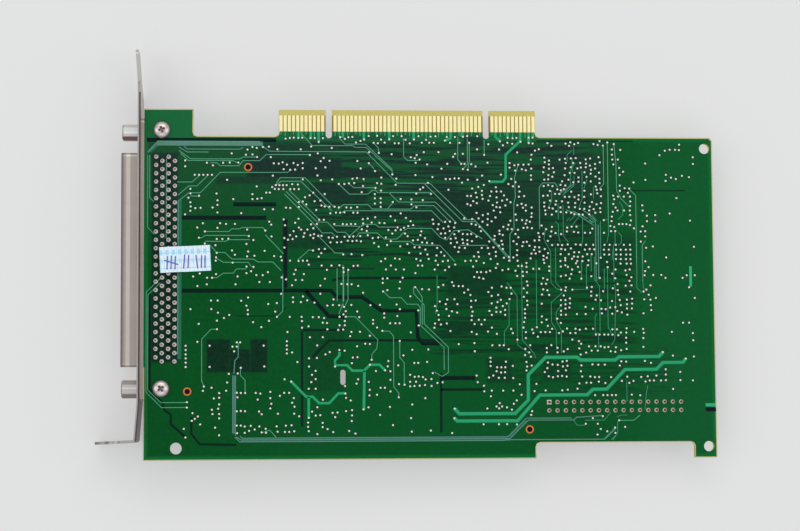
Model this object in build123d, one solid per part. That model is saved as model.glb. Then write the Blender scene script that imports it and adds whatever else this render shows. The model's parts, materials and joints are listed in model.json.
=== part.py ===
from build123d import *
import os
from math import cos, radians, sin, tan

# Short PCI data acquisition card: a printed board with its bracket, a 100-way right-angle
# connector, a 34-way ribbon header and the parts on its hidden component side.
#
# While it is modelled, X runs along the board away from the bracket, Y runs across the board
# towards its edge fingers, and Z = 0 is the solder side, with the components hanging below it.
# place() then moves everything so that the origin is the centre of the overall box's base.

# ---- board ----
BOARD_LENGTH = 174.63
BOARD_WIDTH = 106.68
BOARD_THICKNESS = 1.57
BRACKET_TAB_LENGTH = 14.84       # full-width stretch of the board behind the bracket
MAIN_EDGE_SETBACK = 8.25         # main edge, back from the finger edge
TONGUE_START = 40.85
TONGUE_LENGTH = 78.8
CUT_CORNER_RADIUS = 1.3
CORNER_CLIP = 0.9
BEVEL_LENGTH = 1.8
BEVEL_ANGLE = 20
SUPPORT_HOLE_DIAMETER = 3.18
SUPPORT_HOLE_INSET = 2.44        # from the far end
SUPPORT_HOLE_HEIGHT = 3.4        # from each long edge
TOOLING_HOLE_DIAMETER = 3.5
TOOLING_HOLE_X = 9.83
TOOLING_HOLE_Y = 3.61
ISOLATION_SLOT_X = 60.18
ISOLATION_SLOT_Y = 24.84
ISOLATION_SLOT_LENGTH = 4.6
ISOLATION_SLOT_WIDTH = 1.6

# ---- finger edge: the plated fingers themselves are surface finish ----
FINGER_PITCH = 1.27
FINGER_POSITIONS = 62
KEY_AFTER_POSITION = (12, 50)    # the voltage keys take the place of two fingers each
KEY_WIDTH = 1.93
KEY_DEPTH = 8.8

# ---- 100-way connector ----
CONNECTOR_Y = 60.9
CONNECTOR_DROP = 6.6             # connector axis below the solder side
HOUSING_LENGTH = 84.6            # the other lengths along the connector follow from this one
HOUSING_DEPTH = 11.2
HOUSING_WALL = 2.2
HOUSING_COVER = 1.3
EAR_LENGTH = 8.6
FLANGE_MARGIN = 0.75             # flange past each end of the housing
FLANGE_HEIGHT = 13.2
FLANGE_THICKNESS = 1.0
FLANGE_CORNER_RADIUS = 1.5
NOSE_END_INSET = 9.4             # nose short of each end of the housing
NOSE_HEIGHT = 8.6
NOSE_REACH = 6.0                 # nose in front of the flange
NOSE_WALL = 0.5
NOSE_CORNER_RADIUS = 1.2
NOSE_SIDE_SLOPE = 10
INSULATOR_CLEARANCE = 0.1
INSULATOR_RECESS = 0.6           # insulator face behind the rim
CONTACTS_PER_COLUMN = 25
TAIL_END_MARGIN = 2.585          # last contact in from the ear; gives a pitch of 1.27
CONTACT_ROW_SPACING = 2.54
CONTACT_WIDTH = 0.5
CONTACT_INSET = 1.2              # contact tips behind the insulator face
CAVITY_CLEARANCE = 0.1
TAIL_COLUMN_FIRST = 3.62
TAIL_COLUMN_SPACING = 1.905
TAIL_HEIGHT = 0.9                # tails above the solder side
TAIL_HOLE_CLEARANCE = 0.04
SPACER_THICKNESS = 1.0
SPACER_SLOT_WIDTH = 0.9
SPACER_MARGIN = 0.05

# ---- bracket ----
BRACKET_LENGTH = 120.02
BRACKET_WIDTH = 18.42
BRACKET_THICKNESS = 0.86
BRACKET_NEAR_EDGE = 2.6          # edge proud of the solder side
BRACKET_BEND_RADIUS = 1.0
FOOT_MARGIN = 0.65               # the bracket leans outwards from this far below the flange
FOOT_LEAN = 4.6
TAB_HEIGHT = 5.4                 # outside face of the screw tab, at its bend
TAB_LENGTH = 11.43
TAB_DROOP = 2.5
TAB_CORNER_RADIUS = 1.2
TONGUE_BEND = 111.4
TONGUE_TAPER = 4.0
TONGUE_LEAN = 4.0
BRACKET_TONGUE_WIDTH = 10.19
BRACKET_TONGUE_RADIUS = 1.6
NOTCH_WIDTH = 4.42
NOTCH_DEPTH = 6.35
NOTCH_FROM_FACE = 6.2
NOSE_CUTOUT_CLEARANCE = 0.35

# ---- screws ----
SCREW_DIAMETER = 2.8
SCREW_CLEARANCE = 0.15
INSERT_CLEARANCE = 0.05         # threads are left plain
JACKSCREW_INSET = 3.0            # in from each end of the connector housing
JACKSCREW_HEX = 4.76
JACKSCREW_REACH = 5.1
JACKSCREW_BORE_DIAMETER = 2.26
JACKSCREW_BORE_DEPTH = 4.6
JACKSCREW_CHAMFER = 0.35
BOARD_SCREW_X = 5.3
BOARD_SCREW_LENGTH = 7.0
HEAD_DIAMETER = 5.2
HEAD_RIM = 0.9
HEAD_HEIGHT = 1.9
HEAD_TOP_DIAMETER = 3.4

# ---- ribbon header ----
HEADER_COLUMNS = 17
HEADER_PITCH = 2.54
HEADER_FIRST_X = 123.05
HEADER_ROW_Y = 14.5
HEADER_PIN_WIDTH = 0.64
HEADER_LENGTH = 50.8
HEADER_HEIGHT = 9.2
HEADER_END_WALL = 1.9
HEADER_WALL = 1.4
HEADER_FLOOR = 2.4
HEADER_PIN_INSET = 0.8
HEADER_TAIL_HEIGHT = 0.7
HEADER_PIN_CLEARANCE = 0.04
HEADER_BACK_GAP = 0.3
POLARISING_SLOT_WIDTH = 4.5
RIBBON_NOTCH_DEPTH = 4.7
RIBBON_NOTCH_LENGTH = 48.8

# ---- paper label on the solder side ----
LABEL_LENGTH = 15.3
LABEL_WIDTH = 7.8
LABEL_THICKNESS = 0.12
LABEL_X = 12.5
LABEL_Y = 60.8
LABEL_TURN = 3
LABEL_RAISED = 5.6               # stretch that lies on the connector tails
LABEL_RAMP = 3.0

# ---- packages: body length, width, height, lead row length, lead reach ----
QUAD_FLAT_PACK = (28.0, 28.0, 3.4, 25.7, 1.4)
WIDE_28 = (17.9, 7.5, 2.35, 16.9, 1.4)
WIDE_20 = (12.8, 7.5, 2.35, 11.9, 1.4)
WIDE_16 = (10.3, 7.5, 2.35, 9.3, 1.4)
NARROW_16 = (9.9, 3.9, 1.5, 9.3, 1.05)
NARROW_8 = (4.9, 3.9, 1.5, 4.3, 1.05)
PACKAGE_STANDOFF = 0.15
BODY_DRAFT = 7
LEAD_THICKNESS = 0.2
LEAD_FOOT = 0.7
LEAD_BITE = 0.3                  # lead buried in the moulding
CARRIER_SIZE = 16.6
CARRIER_HEIGHT = 4.2
CARRIER_LEAD_SPAN = 14.0
CARRIER_LEAD_DEPTH = 2.6
CARRIER_LEAD_PROUD = 0.45

# ---- part places on the component side: x, y, turn in degrees ----
BUS_INTERFACE = (131.0, 80.5, 0)
TIMING_CONTROLLER = (97.5, 60.0, 0)
DIGITAL_PORT = (159.5, 62.0, 0)
SAMPLE_MEMORIES = [(129.0, 50.0, 0), (129.0, 39.0, 0)]
BUS_BUFFERS = [(104.5, 90.5, 0), (86.0, 90.5, 0), (153.0, 40.0, 90), (165.0, 40.0, 90)]
TO_DIGITAL = (62.5, 49.5, 0)
TO_ANALOG = [(62.0, 36.0, 90), (75.0, 36.0, 90)]
MULTIPLEXER_COLUMNS = (21.5, 35.5)
MULTIPLEXER_ROWS = (46.5, 59.1, 71.7, 84.3)
INSTRUMENT_AMPLIFIER = (49.5, 62.5, 90)
AMPLIFIER_COLUMNS = (48.5, 58.5, 68.5)
AMPLIFIER_ROWS = (77.0, 87.0)
TRIMMERS = [(49.5, 33.0, 90), (49.5, 21.0, 90)]
REFERENCE = (54.0, 41.2, 0)
SETTINGS_MEMORY = (76.5, 81.5, 0)
RESISTOR_NETWORKS = [(88.0, 81.0, 0), (104.0, 81.0, 0)]
OSCILLATOR = (74.0, 66.0)
CONVERTER = (28.15, 31.55)

# ---- modules and passives ----
CONVERTER_LENGTH = 20.3
CONVERTER_WIDTH = 10.2
CONVERTER_HEIGHT = 8.2
CONVERTER_STANDOFF = 0.5
CONVERTER_FOOT_INSET = 1.2
CONVERTER_FOOT_SIZE = 1.5
OSCILLATOR_SIZE = 12.9
OSCILLATOR_HEIGHT = 5.1
OSCILLATOR_SKIRT = 0.5
OSCILLATOR_RADIUS = 1.8
TANTALUM_SIZE = (7.3, 4.3, 2.8)
TANTALUM_X = (18.0, 29.5, 41.0)
TANTALUM_ROWS = (10.5, 18.0)
INDUCTOR_SIZE = 8.2
INDUCTOR_HEIGHT = 4.6
INDUCTOR_DRUM_DIAMETER = 6.6
INDUCTOR_PLATE = 1.0
INDUCTOR_PLACES = [(66.0, 16.5)]
FUSE_SIZE = (7.4, 5.2, 1.1)
FUSE_PLACE = (84.0, 20.0)
CAPACITOR_SIZE = (3.2, 1.6, 1.3)
RESISTOR_SIZE = (2.0, 1.25, 0.55)
CAPACITOR_RUNS = [               # first x, first y, step x, step y, how many, turn
    (115.2, 60.0, 0.0, -8.0, 3, 90),
    (118.0, 60.5, 8.7, 0.0, 4, 0),
    (149.0, 72.0, 0.0, 8.0, 3, 90),
    (47.0, 42.5, 0.0, 0.0, 1, 0),
    (78.5, 50.0, 0.0, 7.0, 2, 90),
    (86.0, 40.5, 8.0, 0.0, 4, 0),
]
RESISTOR_RUNS = [
    (14.2, 42.0, 0.0, 7.0, 7, 90),
    (84.0, 31.0, 6.0, 0.0, 6, 90),
    (46.0, 94.5, 6.0, 0.0, 5, 0),
    (128.0, 24.0, 9.0, 0.0, 4, 0),
]

# ---- worked out from the sizes above ----
COMPONENT_SIDE = -BOARD_THICKNESS
MAIN_EDGE = BOARD_WIDTH - MAIN_EDGE_SETBACK
TONGUE_END = TONGUE_START + TONGUE_LENGTH
FINGER_FIRST_X = TONGUE_START + (TONGUE_LENGTH - (FINGER_POSITIONS - 1) * FINGER_PITCH) / 2
KEY_X = [FINGER_FIRST_X + (position - 0.5) * FINGER_PITCH for position in KEY_AFTER_POSITION]
CONNECTOR_Z = -CONNECTOR_DROP
NOSE_TIP = -FLANGE_THICKNESS - NOSE_REACH
BRACKET_INNER = -FLANGE_THICKNESS
BRACKET_OUTER = BRACKET_INNER - BRACKET_THICKNESS
BRACKET_FAR_EDGE = BRACKET_NEAR_EDGE - BRACKET_WIDTH
FLANGE_LENGTH = HOUSING_LENGTH + 2 * FLANGE_MARGIN
NOSE_LENGTH = HOUSING_LENGTH - 2 * NOSE_END_INSET
CONTACT_SPAN = HOUSING_LENGTH - 2 * (EAR_LENGTH + TAIL_END_MARGIN)
CONTACT_PITCH = CONTACT_SPAN / (2 * CONTACTS_PER_COLUMN - 1)
SCREW_OFFSET = HOUSING_LENGTH / 2 - JACKSCREW_INSET
SCREW_YS = {"upper": CONNECTOR_Y + SCREW_OFFSET, "lower": CONNECTOR_Y - SCREW_OFFSET}
FOOT_START = CONNECTOR_Y - FLANGE_LENGTH / 2 - FOOT_MARGIN
HEADER_CENTRE_X = HEADER_FIRST_X + (HEADER_COLUMNS - 1) * HEADER_PITCH / 2
HEADER_Z = COMPONENT_SIDE - HEADER_HEIGHT / 2
HEADER_BACK = HEADER_ROW_Y - HEADER_PIN_WIDTH / 2 - HEADER_BACK_GAP
THROUGH = 40.0                   # long enough for any cutting tool
OVERSHOOT = 1.0                  # how far the bevel's cutting wedge runs past the board


def area(x_low, x_high, y_low, y_high, radius=0):
    """Flat rectangle between two corners, with its own corners rounded."""
    width, height = x_high - x_low, y_high - y_low
    shape = RectangleRounded(width, height, radius) if radius else Rectangle(width, height)
    return Pos((x_low + x_high) / 2, (y_low + y_high) / 2) * shape


def block(x_low, x_high, y_low, y_high, z_low, z_high, radius=0):
    """Upright block between two corners."""
    return Pos(0, 0, z_low) * extrude(area(x_low, x_high, y_low, y_high, radius), z_high - z_low)


def square_bar(width, x, y, z_low, z_high):
    return block(x - width / 2, x + width / 2, y - width / 2, y + width / 2, z_low, z_high)


def upright_cylinder(diameter, x, y, z_low, z_high):
    return Pos(x, y, z_low) * extrude(Circle(diameter / 2), z_high - z_low)


def along_x(shape, y, z, x_low, x_high):
    """Sketch drawn looking along the card, extruded between two stations on X."""
    plane = Plane(origin=(x_low, y, z), x_dir=(0, 1, 0), z_dir=(1, 0, 0))
    return extrude(plane * shape, x_high - x_low, dir=(1, 0, 0))


def tail_column(column):
    """Places of one column of connector tails; every second column is half a step lower."""
    x = TAIL_COLUMN_FIRST + column * TAIL_COLUMN_SPACING
    start = CONNECTOR_Y + CONTACT_SPAN / 2 - (column % 2) * CONTACT_PITCH
    return [(x, start - 2 * CONTACT_PITCH * step) for step in range(CONTACTS_PER_COLUMN)]


def mating_row_z(column):
    """The two columns nearest the bracket feed the contact row nearest the board."""
    side = 1 if column < 2 else -1
    return CONNECTOR_Z + side * CONTACT_ROW_SPACING / 2


def header_row(row):
    y = HEADER_ROW_Y + row * HEADER_PITCH
    return [(HEADER_FIRST_X + step * HEADER_PITCH, y) for step in range(HEADER_COLUMNS)]


def header_row_z(row):
    return HEADER_Z + (0.5 - row) * HEADER_PITCH


# ---- board ----
def board_outline():
    beyond = CUT_CORNER_RADIUS * 4
    outline = area(0, BOARD_LENGTH, 0, BOARD_WIDTH)
    outline -= area(BRACKET_TAB_LENGTH, TONGUE_START, MAIN_EDGE, BOARD_WIDTH + beyond, CUT_CORNER_RADIUS)
    outline -= area(TONGUE_END, BOARD_LENGTH + beyond, MAIN_EDGE, BOARD_WIDTH + beyond, CUT_CORNER_RADIUS)
    outline -= area(HEADER_CENTRE_X - RIBBON_NOTCH_LENGTH / 2, HEADER_CENTRE_X + RIBBON_NOTCH_LENGTH / 2,
                    -beyond, RIBBON_NOTCH_DEPTH, CUT_CORNER_RADIUS)
    for x in KEY_X:
        outline -= area(x - KEY_WIDTH / 2, x + KEY_WIDTH / 2, BOARD_WIDTH - KEY_DEPTH, BOARD_WIDTH + beyond,
                        KEY_WIDTH * 0.49)
    corner = outline.vertices().sort_by(Axis.X).sort_by(lambda v: v.X + v.Y)[-1]
    return chamfer(corner, CORNER_CLIP)


def board_holes():
    """Every hole through the board, as one flat shape."""
    far_x = BOARD_LENGTH - SUPPORT_HOLE_INSET
    round_holes = [
        (far_x, SUPPORT_HOLE_HEIGHT, SUPPORT_HOLE_DIAMETER),
        (far_x, MAIN_EDGE - SUPPORT_HOLE_HEIGHT, SUPPORT_HOLE_DIAMETER),
        (TOOLING_HOLE_X, TOOLING_HOLE_Y, TOOLING_HOLE_DIAMETER),
    ]
    round_holes += [(BOARD_SCREW_X, y, SCREW_DIAMETER + 2 * SCREW_CLEARANCE) for y in SCREW_YS.values()]
    holes = [Pos(x, y) * Circle(diameter / 2) for x, y, diameter in round_holes]
    slot = SlotOverall(ISOLATION_SLOT_LENGTH, ISOLATION_SLOT_WIDTH, rotation=90)
    holes.append(Pos(ISOLATION_SLOT_X, ISOLATION_SLOT_Y) * slot)
    tail_hole = CONTACT_WIDTH + 2 * TAIL_HOLE_CLEARANCE
    for column in range(4):
        holes += [Pos(x, y) * Rectangle(tail_hole, tail_hole) for x, y in tail_column(column)]
    pin_hole = HEADER_PIN_WIDTH + 2 * HEADER_PIN_CLEARANCE
    for row in range(2):
        holes += [Pos(x, y) * Rectangle(pin_hole, pin_hole) for x, y in header_row(row)]
    return Sketch() + holes


def finger_bevel():
    """Wedge that is cut from one face along the tip of the finger edge."""
    rise = BEVEL_LENGTH * tan(radians(BEVEL_ANGLE))
    start = BOARD_WIDTH - BEVEL_LENGTH
    beyond = BOARD_WIDTH + OVERSHOOT
    wedge = Polygon((start, 0), (BOARD_WIDTH, -rise), (beyond, -rise), (beyond, OVERSHOOT),
                    (start, OVERSHOOT), align=None)
    return along_x(wedge, 0, 0, TONGUE_START - OVERSHOOT, TONGUE_END + OVERSHOOT)


def circuit_board():
    board = Pos(0, 0, COMPONENT_SIDE) * extrude(board_outline() - board_holes(), BOARD_THICKNESS)
    bevel = finger_bevel()
    return board - bevel - mirror(bevel, Plane.XY.offset(-BOARD_THICKNESS / 2))


# ---- 100-way connector ----
def d_shape(length, height, radius):
    """D outline, long side towards the solder side."""
    inset = height * tan(radians(NOSE_SIDE_SLOPE))
    half, high = length / 2, height / 2
    outline = Polygon((-half, high), (half, high), (half - inset, -high), (-half + inset, -high), align=None)
    return fillet(outline.vertices(), radius)


def nose_shape(growth):
    """The nose's own outline, grown or shrunk all round."""
    return d_shape(NOSE_LENGTH + 2 * growth, NOSE_HEIGHT + 2 * growth, NOSE_CORNER_RADIUS + growth)


def screw_bores(diameter, x_low, x_high):
    return [along_x(Circle(diameter / 2), y, CONNECTOR_Z, x_low, x_high) for y in SCREW_YS.values()]


def connector_shell():
    """Drawn steel shell: a flange against the board's edge and the D-shaped nose through the bracket."""
    flange = RectangleRounded(FLANGE_LENGTH, FLANGE_HEIGHT, FLANGE_CORNER_RADIUS)
    shell = along_x(flange, CONNECTOR_Y, CONNECTOR_Z, -FLANGE_THICKNESS, 0)
    shell += along_x(nose_shape(0), CONNECTOR_Y, CONNECTOR_Z, NOSE_TIP, -FLANGE_THICKNESS)
    shell -= along_x(nose_shape(-NOSE_WALL), CONNECTOR_Y, CONNECTOR_Z, NOSE_TIP, 0)
    return shell - screw_bores(SCREW_DIAMETER + 2 * INSERT_CLEARANCE, -FLANGE_THICKNESS, 0)


def contact_cavities():
    """Square passages for all 100 contacts, seen from the mouth."""
    side = CONTACT_WIDTH + 2 * CAVITY_CLEARANCE
    passages = []
    for column in range(4):
        z = mating_row_z(column) - CONNECTOR_Z
        passages += [Pos(y - CONNECTOR_Y, z) * Rectangle(side, side) for x, y in tail_column(column)]
    return Sketch() + passages


def connector_housing():
    """One moulding: the insulator in the nose, the wall behind the flange, the ears and the cover."""
    floor = CONNECTOR_Z - FLANGE_HEIGHT / 2
    low, high = CONNECTOR_Y - HOUSING_LENGTH / 2, CONNECTOR_Y + HOUSING_LENGTH / 2
    housing = along_x(nose_shape(-NOSE_WALL - INSULATOR_CLEARANCE), CONNECTOR_Y, CONNECTOR_Z,
                      NOSE_TIP + INSULATOR_RECESS, 0)
    housing += block(0, HOUSING_WALL, low, high, floor, COMPONENT_SIDE)
    housing += block(0, HOUSING_DEPTH, low, high, floor, floor + HOUSING_COVER)
    for start in (low, high - EAR_LENGTH):
        housing += block(0, HOUSING_DEPTH, start, start + EAR_LENGTH, floor, COMPONENT_SIDE)
    housing -= along_x(contact_cavities(), CONNECTOR_Y, CONNECTOR_Z, NOSE_TIP, HOUSING_WALL)
    insert = SCREW_DIAMETER + 2 * INSERT_CLEARANCE
    for y in SCREW_YS.values():
        housing -= upright_cylinder(insert, BOARD_SCREW_X, y, -BOARD_SCREW_LENGTH, COMPONENT_SIDE)
    return housing


def contact_column(column):
    """Right-angle contacts: mating blade, run through the housing, bend and tail through the board."""
    half = CONTACT_WIDTH / 2
    z = mating_row_z(column)
    front = NOSE_TIP + INSULATOR_RECESS + CONTACT_INSET
    contacts = []
    for x, y in tail_column(column):
        side_view = Polygon((front, z - half), (x + half, z - half), (x + half, TAIL_HEIGHT),
                            (x - half, TAIL_HEIGHT), (x - half, z + half), (front, z + half), align=None)
        plane = Plane(origin=(0, y + half, 0), x_dir=(1, 0, 0), z_dir=(0, -1, 0))
        contacts.append(extrude(plane * side_view, CONTACT_WIDTH))
    return contacts


def tail_spacer():
    """Plate against the board that keeps the tails on their columns."""
    low = CONNECTOR_Y - HOUSING_LENGTH / 2 + EAR_LENGTH
    high = CONNECTOR_Y + HOUSING_LENGTH / 2 - EAR_LENGTH
    plate = block(HOUSING_WALL, HOUSING_DEPTH, low, high, COMPONENT_SIDE - SPACER_THICKNESS, COMPONENT_SIDE)
    for column in range(4):
        tails = tail_column(column)
        x = tails[0][0]
        reach = CONTACT_WIDTH / 2 + SPACER_MARGIN
        plate -= block(x - reach, x + reach, tails[-1][1] - SPACER_SLOT_WIDTH, tails[0][1] + SPACER_SLOT_WIDTH,
                       COMPONENT_SIDE - SPACER_THICKNESS, COMPONENT_SIDE)
    return plate


# ---- bracket ----
def bracket_side_view():
    """Folded sheet seen from the solder side: tongue, straight stretch, leaning foot and screw tab."""
    lean, droop = radians(FOOT_LEAN), radians(TAB_DROOP)
    tongue_tip = TAB_HEIGHT + BRACKET_LENGTH
    tongue_x = BRACKET_INNER - (tongue_tip - TONGUE_BEND) * tan(radians(TONGUE_LEAN))
    corner = (BRACKET_INNER - (FOOT_START - TAB_HEIGHT) * tan(lean), TAB_HEIGHT)
    tab = TAB_LENGTH + BRACKET_THICKNESS
    tab_tip = (corner[0] - tab * cos(droop), corner[1] - tab * sin(droop))
    fold = FilletPolyline((tongue_x, tongue_tip), (BRACKET_INNER, TONGUE_BEND), (BRACKET_INNER, FOOT_START),
                          corner, tab_tip, radius=BRACKET_BEND_RADIUS)
    return make_face(offset(fold, BRACKET_THICKNESS, side=Side.RIGHT))


def bracket_front_view():
    """Outline of the bracket seen along the card: full width, then tapered to the tongue."""
    half, thin = BRACKET_WIDTH / 2, BRACKET_TONGUE_WIDTH / 2
    tip = TAB_HEIGHT + BRACKET_LENGTH
    shape = Polygon((0, -half), (TONGUE_BEND, -half), (TONGUE_BEND + TONGUE_TAPER, -thin), (tip, -thin),
                    (tip, thin), (TONGUE_BEND + TONGUE_TAPER, thin), (TONGUE_BEND, half), (0, half), align=None)
    return fillet(shape.vertices().sort_by(Axis.X)[-2:], BRACKET_TONGUE_RADIUS)


def screw_notch():
    """Notch in the screw tab, open towards the solder side, with a round end."""
    foot_x = BRACKET_OUTER - (FOOT_START - TAB_HEIGHT) * tan(radians(FOOT_LEAN))
    x = foot_x - NOTCH_FROM_FACE
    end = BRACKET_NEAR_EDGE - NOTCH_DEPTH
    beyond = NOTCH_WIDTH
    shape = area(x - NOTCH_WIDTH / 2, x + NOTCH_WIDTH / 2, end, BRACKET_NEAR_EDGE + beyond, NOTCH_WIDTH * 0.49)
    plane = Plane(origin=(0, TAB_HEIGHT + TAB_LENGTH / 4, 0), x_dir=(1, 0, 0), z_dir=(0, -1, 0))
    return extrude(plane * shape, TAB_LENGTH / 2, dir=(0, -1, 0))


def bracket():
    sheet = Pos(0, 0, BRACKET_FAR_EDGE) * extrude(bracket_side_view(), BRACKET_WIDTH)
    middle = (BRACKET_NEAR_EDGE + BRACKET_FAR_EDGE) / 2
    sheet &= along_x(bracket_front_view(), 0, middle, -THROUGH, THROUGH)
    tab_corners = sheet.edges().filter_by(Axis.Y, tolerance=TAB_DROOP * 2).sort_by(Axis.X)
    sheet = fillet(tab_corners[:2], TAB_CORNER_RADIUS)
    sheet -= screw_notch()
    cutout = nose_shape(NOSE_CUTOUT_CLEARANCE)
    sheet -= along_x(cutout, CONNECTOR_Y, CONNECTOR_Z, BRACKET_OUTER, BRACKET_INNER)
    return sheet - screw_bores(SCREW_DIAMETER + 2 * SCREW_CLEARANCE, BRACKET_OUTER, BRACKET_INNER)


# ---- screws ----
def jackscrew(y):
    """Hexagonal post outside the bracket, threaded into the flange, with a thread in its free end."""
    across_corners = JACKSCREW_HEX / cos(radians(30))
    hexagon = RegularPolygon(across_corners / 2, 6, rotation=30 if y > CONNECTOR_Y else 0)
    post = along_x(hexagon, y, CONNECTOR_Z, BRACKET_OUTER - JACKSCREW_REACH, BRACKET_OUTER)
    post = chamfer(post.edges().group_by(Axis.X)[0], JACKSCREW_CHAMFER)
    post += along_x(Circle(SCREW_DIAMETER / 2), y, CONNECTOR_Z, BRACKET_OUTER, 0)
    tip = BRACKET_OUTER - JACKSCREW_REACH
    return post - along_x(Circle(JACKSCREW_BORE_DIAMETER / 2), y, CONNECTOR_Z, tip, tip + JACKSCREW_BORE_DEPTH)


def board_screw(y):
    """Pan-head screw, from the solder side into the ear."""
    radius, shank, top = HEAD_DIAMETER / 2, SCREW_DIAMETER / 2, HEAD_TOP_DIAMETER / 2
    half_section = Polygon((0, HEAD_HEIGHT), (0, -BOARD_SCREW_LENGTH), (shank, -BOARD_SCREW_LENGTH), (shank, 0),
                           (radius, 0), (radius, HEAD_RIM), (top, HEAD_HEIGHT), align=None)
    return Pos(BOARD_SCREW_X, y, 0) * revolve(Plane.XZ * half_section, Axis.Z)


# ---- ribbon header ----
def header_housing():
    """Right-angle shroud, its mouth flush with the board's notch and a polarising slot in its far wall."""
    low, high = HEADER_CENTRE_X - HEADER_LENGTH / 2, HEADER_CENTRE_X + HEADER_LENGTH / 2
    floor = COMPONENT_SIDE - HEADER_HEIGHT
    shroud = block(low, high, RIBBON_NOTCH_DEPTH, HEADER_BACK, floor, COMPONENT_SIDE)
    inner_floor = HEADER_BACK - HEADER_FLOOR
    shroud -= block(low + HEADER_END_WALL, high - HEADER_END_WALL, RIBBON_NOTCH_DEPTH, inner_floor,
                    floor + HEADER_WALL, COMPONENT_SIDE - HEADER_WALL)
    shroud -= block(HEADER_CENTRE_X - POLARISING_SLOT_WIDTH / 2, HEADER_CENTRE_X + POLARISING_SLOT_WIDTH / 2,
                    RIBBON_NOTCH_DEPTH, inner_floor, floor, floor + HEADER_WALL)
    reach = HEADER_PIN_WIDTH / 2 + HEADER_PIN_CLEARANCE
    for row in range(2):
        first, last = header_row(row)[0][0], header_row(row)[-1][0]
        z = header_row_z(row)
        shroud -= block(first - reach, last + reach, inner_floor, HEADER_BACK, z - reach, z + reach)
    return shroud


def header_pins(row):
    """One row of right-angle pins: mating length, passage through the shroud, bend and tail."""
    half = HEADER_PIN_WIDTH / 2
    z = header_row_z(row)
    front = RIBBON_NOTCH_DEPTH + HEADER_PIN_INSET
    pins = []
    for x, y in header_row(row):
        side_view = Polygon((front, z - half), (y + half, z - half), (y + half, HEADER_TAIL_HEIGHT),
                            (y - half, HEADER_TAIL_HEIGHT), (y - half, z + half), (front, z + half), align=None)
        pins.append(along_x(side_view, 0, 0, x - half, x + half))
    return pins


# ---- paper label ----
def paper_label():
    """Thin label that lies on the connector tails at one end and slopes down onto the board."""
    low = TAIL_HEIGHT
    line = Polyline((-LABEL_LENGTH / 2, low), (-LABEL_LENGTH / 2 + LABEL_RAISED, low),
                    (-LABEL_LENGTH / 2 + LABEL_RAISED + LABEL_RAMP, 0), (LABEL_LENGTH / 2, 0))
    side_view = make_face(offset(line, LABEL_THICKNESS, side=Side.LEFT))
    plane = Plane(origin=(0, LABEL_WIDTH / 2, 0), x_dir=(1, 0, 0), z_dir=(0, -1, 0))
    sheet = extrude(plane * side_view, LABEL_WIDTH, dir=(0, -1, 0))
    return Pos(LABEL_X, LABEL_Y) * Rot(0, 0, LABEL_TURN) * sheet


# ---- packages: each is drawn upside down from the board face, then hung under it ----
def hang(shape, place):
    x, y, turn = place
    return Pos(x, y, COMPONENT_SIDE) * Rot(0, 0, turn) * mirror(shape, Plane.XY)


def moulded_body(length, width, height):
    """Moulding whose sides draw in towards its top."""
    return Pos(0, 0, PACKAGE_STANDOFF) * extrude(Rectangle(length, width), height, taper=BODY_DRAFT)


def gull_wing(length, edge, reach, height):
    """Formed lead row along one side, drawn as one strip: out of the moulding, down and along the board."""
    middle = PACKAGE_STANDOFF + height / 2
    thick = LEAD_THICKNESS
    start = edge - LEAD_BITE
    knee = edge + reach - LEAD_FOOT
    toe = edge + reach
    section = Polygon((start, middle), (knee, middle), (knee, 0), (toe, 0), (toe, thick),
                      (knee + thick, middle + thick), (start, middle + thick), align=None)
    return along_x_centred(section, length)


def along_x_centred(section, length):
    return along_x(section, 0, 0, -length / 2, length / 2)


def small_outline(size):
    """Package with a lead row along each long side."""
    length, width, height, row, reach = size
    chip = moulded_body(length, width, height)
    strip = gull_wing(row, width / 2, reach, height)
    return chip + strip + Rot(0, 0, 180) * strip


def quad_pack(size):
    """Square package with a lead row along all four sides."""
    length, width, height, row, reach = size
    chip = moulded_body(length, width, height)
    strip = gull_wing(row, width / 2, reach, height)
    for turn in range(4):
        chip += Rot(0, 0, 90 * turn) * strip
    return chip


def leaded_carrier():
    """Square chip carrier with its leads folded under it, drawn as one strip a side."""
    carrier = moulded_body(CARRIER_SIZE, CARRIER_SIZE, CARRIER_HEIGHT)
    reach = CARRIER_SIZE / 2 + CARRIER_LEAD_PROUD
    half = CARRIER_LEAD_SPAN / 2
    for turn in range(4):
        strip = block(-half, half, reach - 2 * CARRIER_LEAD_PROUD, reach, 0, CARRIER_LEAD_DEPTH)
        carrier += Rot(0, 0, 90 * turn) * strip
    return carrier


def oscillator_can():
    """Drawn metal can on a rectangular skirt."""
    half = OSCILLATOR_SIZE / 2
    edge = half - OSCILLATOR_SKIRT
    can = block(-half, half, -half, half, 0, OSCILLATOR_SKIRT)
    return can + block(-edge, edge, -edge, edge, OSCILLATOR_SKIRT, OSCILLATOR_HEIGHT, OSCILLATOR_RADIUS)


def power_module():
    """Potted converter block standing on four feet."""
    half_x, half_y = CONVERTER_LENGTH / 2, CONVERTER_WIDTH / 2
    module = block(-half_x, half_x, -half_y, half_y, CONVERTER_STANDOFF, CONVERTER_HEIGHT)
    for side_x in (-1, 1):
        for side_y in (-1, 1):
            module += square_bar(CONVERTER_FOOT_SIZE, side_x * (half_x - CONVERTER_FOOT_INSET),
                                 side_y * (half_y - CONVERTER_FOOT_INSET), 0, CONVERTER_STANDOFF)
    return module


def inductor():
    """Wound drum between two square plates."""
    half = INDUCTOR_SIZE / 2
    top = INDUCTOR_HEIGHT - INDUCTOR_PLATE
    coil = upright_cylinder(INDUCTOR_DRUM_DIAMETER, 0, 0, 0, INDUCTOR_HEIGHT)
    return coil + [block(-half, half, -half, half, z, z + INDUCTOR_PLATE) for z in (0, top)]


def passive(size):
    length, width, height = size
    return block(-length / 2, length / 2, -width / 2, width / 2, 0, height)


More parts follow.
